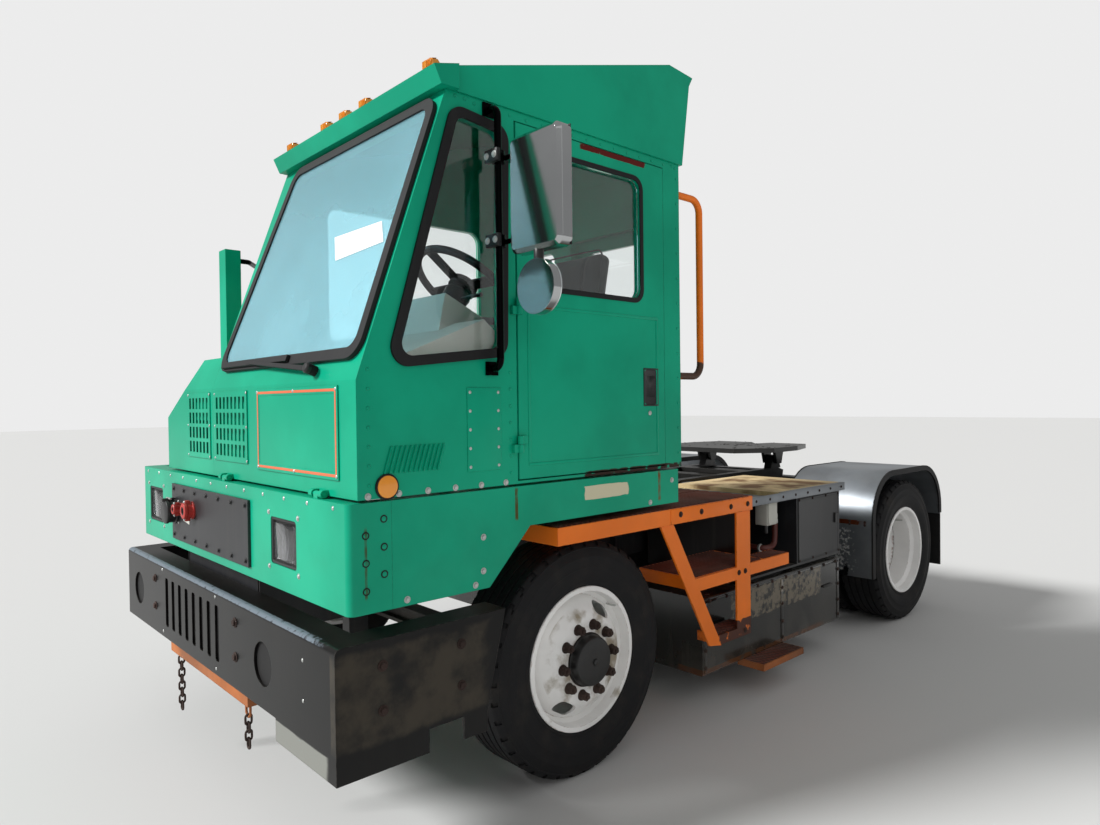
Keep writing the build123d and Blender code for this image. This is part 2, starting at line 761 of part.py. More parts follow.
glass = [screen(-4, 4, 4 + glass_thick, 56), pane_x(quarter, body_left_x - 14, body_left_x - 8, -seat_gap, 45 - seat_gap),
         pane_x(right_window, cab_right_x + 10, cab_right_x + 16, -seat_gap, 60 - seat_gap),
         pane_y(rear_window, cab_rear_y - 20, cab_rear_y - 14, -seat_gap, 50 - seat_gap)]
keep("cab_glass", *glass)
screen_rubber = screen(rubber_wide, seat_gap, rubber_proud, 74) - screen(-3 - 10, -1, rubber_proud + 2, 46)
screen_rubber = screen_rubber - screen(-4 + seat_gap, 4 - seat_gap, 4 + glass_thick + seat_gap, 56)
quarter_rubber = (pane_x(quarter, body_left_x + seat_gap, body_left_x + 10, rubber_wide, 62)
                  - pane_x(quarter, body_left_x - 1, body_left_x + 12, -8, 38))
keep("window_rubbers", screen_rubber, quarter_rubber)


# Roof: a wedge rising to the rear, hollow below, with the visor over the windscreen

def roof():
    low = cab_top_z + seat_gap
    side = [(visor_low_y, low), (cab_rear_y + 17, low), (roof_tail_y - 26, roof_tail_z - 44), (roof_tail_y, roof_tail_z),
            (roof_peak_y, roof_peak_z), (roof_front_y, roof_front_z), (visor_tip_y, visor_tip_z)]
    shape = along_x(side, cab_right_x - 6, roof_left_x)
    w = roof_wall
    cabin = [(windshield_y(cab_top_z) + cab_wall, low - 1), (cab_rear_y - cab_wall, low - 1),
             (cab_rear_y - cab_wall, roof_peak_z - w - 8), (roof_peak_y, roof_peak_z - w - 8),
             (roof_front_y + 60, roof_front_z - w + 10)]
    shape = shape - along_x(cabin, cab_right_x + cab_wall, body_left_x - cab_wall)
    shape = shape + along_x([(visor_tip_y, visor_tip_z), (visor_low_y, low), (roof_front_y, low),
                             (roof_front_y, roof_front_z)], cab_right_x - 6, visor_left_x)
    return shape


keep("cab_roof", roof())
# x of each amber lamp on the visor
marker_x = (150, 480, 640, 800, 1240)
slope = atan2(roof_front_z - visor_tip_z, roof_front_y - visor_tip_y)
markers = []
for x in marker_x:
    base_y = (visor_tip_y + roof_front_y) / 2
    base_z = (visor_tip_z + roof_front_z) / 2
    lamp = extrude(RectangleRounded(66, 44, 14), amount=40, taper=12)
    markers.append(Pos(x, base_y, base_z + seat_gap) * Rot(degrees(slope), 0, 0) * lamp)
keep("marker_lamps", *markers)


# Hood: the equipment housing beside the cab, its outer front corner cut by a sloped facet

def hood():
    side = [(cab_front_y, cab_base_z), (cab_front_y, brow_z), (windshield_y(hood_top_z), hood_top_z),
            (hood_rear_y, hood_top_z), (hood_rear_y, cab_base_z)]
    shape = along_x(side, hood_right_x, cab_right_x - seat_gap)
    w = hood_wall
    room = [(cab_front_y + w, cab_base_z - 1), (cab_front_y + w, brow_z - 140), (cab_front_y + w + 190, hood_top_z - w),
            (hood_rear_y - w, hood_top_z - w), (hood_rear_y - w, cab_base_z - 1)]
    facet = Plane(origin=(-310, cab_front_y, 1638), z_dir=Vector(-0.49, -1.45, 1))
    inner_facet = Plane(origin=(-310 + 6, cab_front_y + 18, 1638 - 12), z_dir=Vector(-0.49, -1.45, 1))
    big = Box(2400, 2400, 400, align=(Align.CENTER, Align.CENTER, Align.MIN))
    inner = along_x(room, hood_right_x + w, cab_right_x - w) - inner_facet * big
    vent = block(grille_hood[0] + 8, grille_hood[1] - 8, cab_front_y - 1, cab_front_y + w + 1,
                 grille_low_z + 8, grille_top_z - 8)
    return shape - facet * big - inner - vent


keep("hood", hood())


# Grille plates: two groups of upright slots in rows, screwed on the front

def grille_plate(x0, x1, pairs):
    z0 = grille_low_z
    z1 = grille_top_z
    t = 4
    front = cab_front_y - t - seat_gap
    shape = block(x0, x1, front, front + t, z0, z1)
    rows = 4
    row_high = (z1 - z0 - 30) / rows
    pitch = (x1 - x0 - 24) / (pairs * 2)
    for row in range(rows):
        for i in range(pairs * 2):
            x = x0 + 12 + (i + 0.5) * pitch
            z = z0 + 15 + row * row_high
            shape = shape - block(x - pitch * 0.26, x + pitch * 0.26, front - 1, front + t + 1, z + 8, z + row_high - 8)
    return shape


keep("grille_plates", grille_plate(*grille_hood, 3), grille_plate(*grille_cab, 4))
cover_x0 = 526
cover_x1 = 1184
cover = block(cover_x0, cover_x1, cab_front_y - 4 - seat_gap, cab_front_y - seat_gap, 1310, 1614)
cover = cover - block(cover_x0 + 26, cover_x1 - 26, cab_front_y - 6, cab_front_y - 3 - seat_gap, 1336, 1588)
keep("cover_panel", cover)


# Side door and the rear sliding door

def side_door():
    x1 = body_left_x + 3
    x0 = x1 - door_thick
    shape = along_x(rect(door_front_y, door_rear_y, door_low_z, door_top_z), x0, x1)
    shape = shape - along_x(door_window, x0 - 1, x1 + 1, 50)
    shape = shape - along_x(rect(266, 351, 1536, 1686), x1 - 14, x1 + 1, 20)
    for z in door_hinges:
        eye = rod_z(z + 1, z + 31, door_hinge_x, door_hinge_y, 11)
        eye = eye + block(x1 - 12, door_hinge_x, door_hinge_y, door_hinge_y + 34, z + 1, z + 31)
        shape = shape + eye + rod_z(z - 30, z + 31, door_hinge_x, door_hinge_y, 6)
    return shape


keep("side_door", side_door())
keep("door_glass", pane_x(door_window, body_left_x - 18, body_left_x - 12, -seat_gap, 50 - seat_gap))


def rear_door():
    y0 = cab_rear_y + rear_door_off
    y1 = y0 + rear_door_thick
    shape = along_y(rect(rear_door_right_x, rear_door_left_x, rear_door_low_z, rear_door_top_z + 30), y0, y1)
    shape = shape - along_y(rear_door_window, y0 - 1, y1 + 1, 50)
    bar_top = rear_door_top_z - 20 + slide_bar_high
    for x in (rear_door_right_x + 90, rear_door_left_x - 90):
        shape = shape + block(x - 30, x + 30, cab_rear_y + 4, y0 + 1, bar_top + seat_gap, bar_top + 19)
    return shape


keep("rear_door", rear_door())
glass_y = cab_rear_y + rear_door_off + 9
keep("rear_door_glass", pane_y(rear_door_window, glass_y, glass_y + glass_thick, -seat_gap, 50 - seat_gap))


# Mirrors: a bent tube arm with a tall head and a round one, on each side

def mirror_head():
    head = block(head_inner_x, head_outer_x, head_front_y, head_front_y + head_deep, head_low_z, head_top_z)
    head = fillet(head.edges().filter_by(Axis.Y), 30)
    back = head.edges().group_by(Axis.Y)[0]
    head = chamfer(back, 14)
    round_head = rod_y(head_front_y + 8, head_front_y + 40, round_mirror_x, round_mirror_z, round_mirror_r)
    stalk = rod_z(round_mirror_z + round_mirror_r - 10, head_low_z + 5, round_mirror_x, mirror_tube_y + 24, 9)
    arm = rod_x(mirror_tube_x, head_inner_x + 10, mirror_tube_y + 24, 2400, 9)
    arm = arm + rod_x(mirror_tube_x, head_inner_x + 10, mirror_tube_y + 24, 2110, 9)
    collar = rod_z(2380, 2420, mirror_tube_x, mirror_tube_y, 24) + rod_z(2090, 2130, mirror_tube_x, mirror_tube_y, 24)
    return head + round_head + stalk + arm + collar


def left_mirror():
    x0 = body_left_x + seat_gap
    points = [(x0, mirror_tube_y, mirror_low_z), (mirror_tube_x, mirror_tube_y, mirror_low_z),
              (mirror_tube_x, mirror_tube_y, mirror_high_z), (x0, mirror_tube_y, mirror_high_z)]
    arm = tube(points, mirror_tube_r, 34)
    arm = arm + block(x0, x0 + 8, mirror_tube_y - 26, mirror_tube_y + 26, mirror_low_z - 24, mirror_low_z + 24)
    arm = arm + block(x0, x0 + 8, mirror_tube_y - 26, mirror_tube_y + 26, mirror_high_z - 24, mirror_high_z + 24)
    return arm + mirror_head()


def right_mirror():
    y = post_rear_y + seat_gap
    dy = 420
    x = -mirror_tube_x
    points = [(post_right_x + 40, y, 2320), (post_right_x + 40, y + 60, 2320), (x, mirror_tube_y + dy, 2320),
              (x, mirror_tube_y + dy, 1800), (post_right_x + 40, y + 60, 1800), (post_right_x + 40, y, 1800)]
    arm = tube(points, mirror_tube_r, 28)
    for z in (2320, 1800):
        arm = arm + block(post_right_x + 10, post_right_x + 70, y, y + 8, z - 30, z + 30)
    return arm + Pos(0, dy, -270) * mirrored(mirror_head())


keep("mirror_left", left_mirror())
keep("mirror_right", right_mirror())


# Grab rail behind the cab, and the wiper

rail_x = 1268
grab_low_z = 1664
grab_high_z = 2484
rail_out = 190
rail_y0 = cab_rear_y + seat_gap
grab = tube([(rail_x, rail_y0, grab_low_z), (rail_x, rail_y0 + rail_out, grab_low_z),
             (rail_x, rail_y0 + rail_out, grab_high_z), (rail_x, rail_y0, grab_high_z)], 16, 60)
for z in (grab_low_z, grab_high_z):
    grab = grab + block(rail_x - 24, rail_x + 24, rail_y0, rail_y0 + 8, z - 52, z + 52)
keep("grab_rail", grab)


def wiper():
    """Arm and blade lying along the foot of the windscreen, on a pivot below its rubber."""
    k = hypot(1, brow_rise)
    pivot_y = (1664 - brow_z) * k
    blade_y = (1712 - brow_z) * k
    face = screen_plane()
    near = rubber_proud + 1
    arm = face.offset(near + 4) * outline([(1006, pivot_y - 9), (1006, pivot_y + 9), (430, blade_y + 7), (430, blade_y - 7)])
    blade = face.offset(near) * outline(rect(150, 790, blade_y - 12, blade_y + 12))
    pivot = face.offset(seat_gap) * (Pos(1000, pivot_y) * Circle(18))
    return extrude(arm, amount=10) + extrude(blade, amount=12) + extrude(pivot, amount=near + 14 - seat_gap)


keep("wiper", wiper())


# Inside the cab: seat, dash and steering wheel

floor_z = cab_base_z + floor_thick + seat_gap


def seat():
    base = block(520, 980, -140, 250, floor_z, floor_z + 220)
    cushion = fillet(block(500, 1000, -220, 280, floor_z + 220, floor_z + 350).edges(), 34)
    back = Pos(750, 240, floor_z + 340) * Rot(-10, 0, 0) * Pos(0, 50, 320)
    back = back * fillet(Box(480, 110, 660).edges(), 36)
    return base + cushion + back


def dash():
    x0 = cab_right_x + cab_wall + seat_gap
    x1 = body_left_x - cab_wall - seat_gap
    front = cab_front_y + cab_wall + seat_gap
    side = [(front, floor_z), (-700, floor_z), (-560, 1640), (-500, 1800), (-560, 1850), (front + 90, 1690), (front, brow_z)]
    shape = along_x(side, x0, x1)
    pod = along_x([(-640, 1790), (-480, 1790), (-430, 1880), (-600, 1960)], 620, 1080)
    column = wheel_centre * Pos(0, 0, -18 - seat_gap - 100) * Cylinder(30, 200)
    return shape + pod + column


wheel_centre = Pos(820, -330, 2040) * Rot(-38, 0, 0)
keep("seat", seat())
keep("dash_console", dash())
ring = wheel_centre * Torus(215, 16)
spokes = wheel_centre * (Box(410, 44, 14) + Pos(0, -105, 0) * Box(44, 205, 14) + Cylinder(60, 36))
keep("steering_wheel", ring + spokes)


# Walkway, ladder and steps

def rim_frame(x0, x1, y0, y1, top, deep):
    """A tread plate with a rim plate round its edge."""
    shape = block(x0, x1, y0, y1, top - plate_grid, top)
    t = rim_thick
    shape = shape + block(x0, x1, y0, y0 + t, top - deep, top) + block(x0, x1, y1 - t, y1, top - deep, top)
    return shape + block(x0, x0 + t, y0, y1, top - deep, top) + block(x1 - t, x1, y0, y1, top - deep, top)


side_walk = rim_frame(walk_inner_x, walk_outer_x, walk_front_y, walk_rear_y, walk_top_z, walk_rim)
rear_walk = rim_frame(deck_right_x, walk_inner_x + rim_thick, deck_front_y, walk_rear_y, walk_top_z, walk_rim)
foot = walk_top_z - walk_rim
walk = side_walk + rear_walk
for side in (1, -1):
    walk = walk + block(side * (rail_outer_x - 66), side * (rail_outer_x - 10), deck_front_y, deck_front_y + 60,
                        rail_top_z + seat_gap, foot + 1)
    walk = walk + block(side * (rail_outer_x - 66), side * (rail_outer_x - 10), walk_rear_y - 60, walk_rear_y,
                        rail_top_z + seat_gap, foot + 1)
walk = walk + block(rail_outer_x - 66, walk_inner_x + rim_thick, 60, 120, foot - 6, foot + 40)
walk = walk + block(rail_outer_x - 66, rail_outer_x - 10, 60, 120, rail_top_z + seat_gap, foot + 1)
keep("walkway", walk)


def ladder():
    """A sloped leg, an upright leg, the landing behind the mid step and the low step."""
    x1 = walk_outer_x - rim_thick - seat_gap
    x0 = x1 - leg_plate
    top = walk_top_z - plate_grid - seat_gap
    run = (ladder_foot_y - ladder_front_y) / (foot - leg_low_z)
    start = ladder_front_y - run * (top - foot)
    shape = along_x([(start, top), (start + leg_wide, top), (ladder_foot_y + leg_wide + 10, leg_low_z - 18),
                     (ladder_foot_y, leg_low_z)], x0, x1)
    post_y0 = walk_rear_y - rim_thick - seat_gap - 120
    shape = shape + block(x0, x1, post_y0, post_y0 + 120, leg_low_z, top)
    shape = shape + rim_frame(mid_step_inner_x, x0 + 1, 627, 1235, mid_step_z, 60)
    shape = shape + rim_frame(low_step_inner_x, x0 + 1, 1226, landing_rear_y, mid_step_z, 60)
    shape = shape + block(x0, x1, 627, post_y0 + 120, mid_step_z - 62, mid_step_z)
    shape = shape + rim_frame(low_step_inner_x, x0 + 1, 805, post_y0 + 120, low_step_z, 46)
    return shape + block(x0, x1, 805, post_y0 + 120, low_step_z - 46, low_step_z)


keep("step_ladder", ladder())
low_step = rim_frame(box_outer_x - 40, box_outer_x + 120, 1235, 1640, box_low_z - seat_gap, 34)
keep("low_step", low_step)


# Boxes between the axles, deck board and air tanks

left_box = block(box_inner_x, box_outer_x, box_front_y, box_rear_y, box_low_z, box_top_z)
left_box = fillet(left_box.edges().filter_by(Axis.Y), 10)
keep("battery_boxes", left_box, mirrored(left_box))
cab_t = 12
cabinet_low = box_top_z + 24
cabinet = block(box_inner_x + 44, box_outer_x, recess_front_y, box_rear_y + 10, cabinet_low, cabinet_top_z)
cabinet = cabinet - block(box_inner_x + 44 + cab_t, box_outer_x + 1, recess_front_y + cab_t, cabinet_front_y,
                          cabinet_low + cab_t, cabinet_top_z - cab_t)
cabinet = cabinet + block(box_inner_x + 80, box_outer_x - 60, recess_front_y + 60, cabinet_front_y - 60,
                          box_top_z + seat_gap, cabinet_low + 1)
cabinet = cabinet + block(box_inner_x + 80, box_outer_x - 60, cabinet_front_y + 60, box_rear_y - 60,
                          box_top_z + seat_gap, cabinet_low + 1)
keep("equipment_cabinet", cabinet)
keep("deck_board", block(board_inner_x, box_outer_x + 22, cabinet_front_y - 190, box_rear_y + 34, cabinet_top_z + seat_gap,
                         cabinet_top_z + board_thick))
tank_r = 130
tanks = []
for x in (-640, -940):
    tank = rod_y(box_front_y + 280, box_rear_y - 250, x, box_top_z + tank_r + 26, tank_r)
    tank = fillet(tank.edges(), 40)
    for y in (box_front_y + 450, box_rear_y - 420):
        tank = tank + block(x - 60, x + 60, y - 30, y + 30, box_top_z + seat_gap, box_top_z + tank_r)
    tanks.append(tank)
keep("air_tanks", *tanks)
keep("drive_motor", block(-260, 260, motor_front_y + seat_gap, motor_rear_y, 470, 880))


# Rear fenders and flaps

def fender():
    y0 = fender_front_y
    y1 = fender_rear_y
    z0 = fender_panel_low_z
    outer = block(fender_inner_x, fender_outer_x, y0, y1, z0, fender_top_z)
    outer = fillet(outer.edges().filter_by(Axis.X).group_by(Axis.Z)[-1], fender_corner_r)
    t = fender_sheet
    inner = block(fender_inner_x - 1, fender_outer_x + 1, y0 + t, y1 - t, z0 - 1, fender_top_z - t)
    inner = fillet(inner.edges().filter_by(Axis.X).group_by(Axis.Z)[-1], fender_corner_r - t)
    shape = outer - inner
    shape = shape - block(fender_inner_x - 1, fender_outer_x + 1, y1 - 40, y1 + 1, z0 - 1, fender_top_z - fender_corner_r - 60)
    return shape


left_fender = fender()
keep("rear_fenders", left_fender, mirrored(left_fender))
flap = block(fender_inner_x, fender_outer_x, fender_rear_y + seat_gap, fender_rear_y + flap_thick,
             flap_low_z, fender_top_z - fender_corner_r + 20)
keep("mud_flaps", flap, mirrored(flap))
tail_y = rail_rear_y + seat_gap
lamps = []
for side in (1, -1):
    lamps.append(rod_y(tail_y, tail_y + 34, side * 330, 800, 52))
keep("tail_lamps", *lamps)


# Fifth wheel: boom, tilting plate, lift cylinders

def boom():
    shape = rod_x(-arm_x, arm_x, boom_pivot_y, boom_pivot_z, 46)
    shape = shape + rod_x(-404, 404, boom_pivot_y, boom_pivot_z, boom_pin_r)
    for side in (1, -1):
        x0 = side * arm_x - arm_wide / 2
        x1 = side * arm_x + arm_wide / 2
        arm = along_x([(boom_pivot_y - 40, boom_pivot_z - 44), (boom_pivot_y + 60, arm_low_z), (3040, arm_low_z),
                       (3060, arm_top_z - 20), (2990, arm_top_z), (boom_pivot_y, arm_top_z),
                       (boom_pivot_y - 40, boom_pivot_z + 40)], x0, x1)
        saddle = along_x([(plate_pivot_y - 70, arm_top_z - 1), (plate_pivot_y + 70, arm_top_z - 1),
                          (plate_pivot_y + 34, plate_pivot_z + 30), (plate_pivot_y - 34, plate_pivot_z + 30)], x0, x1)
        shape = shape + arm + saddle
        for x in (cylinder_x - 44, cylinder_x + 44):
            ear = along_x([(cylinder_eye_y - 60, arm_top_z - 20), (cylinder_eye_y + 60, arm_top_z - 20),
                           (cylinder_eye_y + 30, cylinder_eye_z - 30), (cylinder_eye_y - 30, cylinder_eye_z - 30)],
                          side * x - 8, side * x + 8)
            shape = shape + ear
        shape = shape + rod_x(side * (cylinder_x - 50), side * (cylinder_x + 52), cylinder_eye_y, cylinder_eye_z,
                              cylinder_pin_r)
    shape = shape + block(-arm_x, arm_x, cylinder_eye_y - 60, cylinder_eye_y + 60, arm_top_z - 32, arm_top_z)
    shape = shape + block(-arm_x, arm_x, 2150, 2260, arm_low_z, arm_top_z)
    shape = shape + block(-arm_x, arm_x, 2960, 3040, arm_low_z, arm_top_z - 20)
    for side in (1, -1):
        shape = shape - rod_x(side * (arm_x - arm_wide), side * (arm_x + arm_wide), plate_pivot_y, plate_pivot_z,
                              plate_pin_r + run_gap)
    return shape


keep("lift_boom", boom())


def coupler():
    half = coupler_wide / 2
    y0 = coupler_front_y
    y1 = coupler_rear_y
    king_y = plate_pivot_y
    plan = [(-half * 0.62, y0), (half * 0.62, y0), (half, y0 + 240), (half, king_y + 60), (half * 0.82, y1),
            (90 + throat_mouth / 2, y1 + 120), (throat_mouth / 2 - 30, y1 + 120), (kingpin_throat_r, king_y + 66),
            (-kingpin_throat_r, king_y + 66), (-throat_mouth / 2 + 30, y1 + 120), (-90 - throat_mouth / 2, y1 + 120),
            (-half * 0.82, y1), (-half, king_y + 60), (-half, y0 + 240)]
    top = coupler_top_z
    shape = along_z(plan, top - coupler_skirt, top)
    shape = shape - rod_z(top - 100, top + 1, 0, king_y, kingpin_throat_r)
    ramp = along_x([(y1 - 10, top + 1), (y1 + 130, top + 1), (y1 + 130, top - coupler_skirt + 8)], -half, half)
    shape = shape - ramp
    for side in (1, -1):
        for x in (arm_x - arm_wide / 2 - 20, arm_x + arm_wide / 2 + 20):
            ear = along_x([(king_y - 60, top - coupler_skirt + 1), (king_y + 60, top - coupler_skirt + 1),
                           (king_y + 30, plate_pivot_z - 32), (king_y - 30, plate_pivot_z - 32)],
                          side * x - 12, side * x + 12)
            shape = shape + ear
        shape = shape + rod_x(side * (arm_x - arm_wide / 2 - 30), side * (arm_x + arm_wide / 2 + 30), king_y,
                              plate_pivot_z, plate_pin_r)
    return shape


keep("coupler_plate", coupler())
lift_long = hypot(cylinder_eye_y - cylinder_base_y, cylinder_eye_z - cylinder_base_z)
lift_angle = degrees(atan2(cylinder_eye_z - cylinder_base_z, cylinder_eye_y - cylinder_base_y))


def along_lift(shape, side):
    """Stands a part drawn along +Z at the cylinder's base pin, leaning as the cylinder does."""
    return Pos(side * cylinder_x, cylinder_base_y, cylinder_base_z) * Rot(lift_angle - 90, 0, 0) * shape


barrels = []
rods = []
barrel_top = 330
for side in (1, -1):
    eye = rod_x(-34, 34, 0, 0, 34)
    barrel = eye + Pos(0, 0, (barrel_top + 62) / 2) * Cylinder(cylinder_r, barrel_top - 62)
    barrel = barrel + Pos(0, 0, 36) * Cylinder(26, 60)
    barrel = barrel - Pos(0, 0, 80 + barrel_top / 2) * Cylinder(rod_r + run_gap, barrel_top)
    barrel = barrel - rod_x(-40, 40, 0, 0, cylinder_pin_r + run_gap)
    barrels.append(along_lift(barrel, side))
    rod = Pos(0, 0, (90 + lift_long) / 2) * Cylinder(rod_r, lift_long - 90)
    rod = rod + rod_x(-34, 34, 0, lift_long, 38)
    rod = rod - rod_x(-40, 40, 0, lift_long, cylinder_pin_r + eye_clear)
    rods.append(along_lift(rod, side))
keep("lift_cylinders", *barrels)
keep("lift_rods", *rods)


# Export, one file a node

print("lift angle", round(lift_angle, 3), "lift length", round(lift_long, 2), "axle to middle", axle_to_middle)
for name, shapes in nodes.items():
    solids = []
    for shape in shapes:
        solids += [Pos(0, axle_to_middle, 0) * solid for solid in shape.solids()]
    whole = solids[0] if len(solids) == 1 else Compound(children=solids)
    export_step(whole, "parts/" + name + ".step")
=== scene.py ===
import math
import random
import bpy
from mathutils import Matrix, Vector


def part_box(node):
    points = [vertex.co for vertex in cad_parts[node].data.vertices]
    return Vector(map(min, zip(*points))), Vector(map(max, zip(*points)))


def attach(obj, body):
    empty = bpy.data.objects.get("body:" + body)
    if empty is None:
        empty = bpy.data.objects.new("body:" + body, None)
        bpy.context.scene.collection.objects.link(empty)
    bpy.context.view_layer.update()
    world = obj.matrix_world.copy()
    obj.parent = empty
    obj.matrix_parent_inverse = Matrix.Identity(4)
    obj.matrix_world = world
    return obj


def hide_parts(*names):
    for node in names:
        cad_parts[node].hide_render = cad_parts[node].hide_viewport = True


bl_info = {
    "name": "Yard tractor looks",
    "version": (1, 0, 0),
    "blender": (4, 5, 0),
    "location": "View3D > Sidebar > Yard tractor",
    "description": "Dresses the packed terminal tractor: finishes, tread, bolts, grating, trim and seat",
    "category": "Object",
}

import bmesh
import bpy
from mathutils import Matrix, Vector

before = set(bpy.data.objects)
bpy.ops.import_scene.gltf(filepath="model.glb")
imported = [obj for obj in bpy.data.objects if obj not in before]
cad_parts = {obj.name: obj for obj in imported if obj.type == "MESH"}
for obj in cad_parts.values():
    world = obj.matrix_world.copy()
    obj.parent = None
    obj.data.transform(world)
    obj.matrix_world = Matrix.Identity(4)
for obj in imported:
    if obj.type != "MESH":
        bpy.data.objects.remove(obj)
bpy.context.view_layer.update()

# Places on the tractor, in metres. +Y runs to the rear, +X to its left, +Z up.
axle_y = -1.3
rear_axle_y = 1.9
axle_z = 0.485
side_x = 1.298
right_x = -0.907
cab_right_x = 0.042
fascia_y = axle_y - 1.118
cab_front_y = axle_y - 1.085
bumper_y = axle_y - 1.18
brow_z = 1.628
rake = 0.355
# how far the windscreen's outer face stands out of the raked plane
screen_out = 0.0101
# the cab's upper rivet line and the top of its floor
roof_line_z = 2.585
floor_z = 1.3003
# middles of the outer and inner tyres, a tyre's radius, the circle of the wheel nuts
outer_x = 1.065
inner_x = 0.765
tyre_r = 0.485
nut_circle = 0.1429


def aft(y):
    """Y of a place that lies y metres behind the front axle."""
    return axle_y + y


def linear(code):
    """A hex colour as linear red, green and blue."""
    parts = [int(code[i:i + 2], 16) / 255 for i in (0, 2, 4)]
    return [c / 12.92 if c <= 0.04045 else ((c + 0.055) / 1.055) ** 2.4 for c in parts]


class TractorLooks(bpy.types.PropertyGroup):
    """Sizes and colours of the tractor's finishes."""

    body_green: bpy.props.FloatVectorProperty(
        name="Body green", description="Paint of cab, hood and fascia",
        default=linear("05a07c"), size=3, subtype="COLOR")
    step_orange: bpy.props.FloatVectorProperty(
        name="Step orange", description="Paint of walkway, ladder and grab rail",
        default=linear("f5780f"), size=3, subtype="COLOR")
    wheel_white: bpy.props.FloatVectorProperty(
        name="Wheel white", description="Paint of the wheel discs",
        default=linear("f2f1ef"), size=3, subtype="COLOR")
    steel_black: bpy.props.FloatVectorProperty(
        name="Steel black", description="Paint of bumper and frame",
        default=linear("1f2023"), size=3, subtype="COLOR")
    dust: bpy.props.FloatProperty(
        name="Dust", description="How much pale dust lies on the lower parts",
        default=0.5, min=0.0, max=1.0, subtype="FACTOR")
    edge_wear: bpy.props.FloatProperty(
        name="Edge wear", description="Width of the worn line along edges",
        default=0.004, min=0.0, max=0.02, unit="LENGTH")
    rivet_size: bpy.props.FloatProperty(
        name="Rivet size", description="Radius of a rivet's head",
        default=0.0065, min=0.002, max=0.02, unit="LENGTH")
    tread_deep: bpy.props.FloatProperty(
        name="Tread depth", description="Depth of the tyres' grooves",
        default=0.009, min=0.002, max=0.02, unit="LENGTH")


class StudioLooks(bpy.types.PropertyGroup):
    """Floor, light and camera."""

    floor_tone: bpy.props.FloatVectorProperty(
        name="Floor", description="Colour of the studio floor",
        default=(0.66, 0.66, 0.65), size=3, subtype="COLOR")
    sky_level: bpy.props.FloatProperty(
        name="Sky level", description="Strength of the even light all round", default=0.36, min=0.0, max=2.0)
    key_level: bpy.props.FloatProperty(
        name="Key level", description="Strength of the soft key light", default=4.2, min=0.0, max=10.0)
    lens: bpy.props.FloatProperty(
        name="Lens", description="Focal length on a 36 mm sensor", default=24.61, min=10.0, max=200.0)


def looks():
    """The panel's settings of the tractor."""
    return bpy.context.scene.tractor_looks


def studio():
    """The panel's settings of the studio."""
    return bpy.context.scene.studio_looks


# Node tree helpers

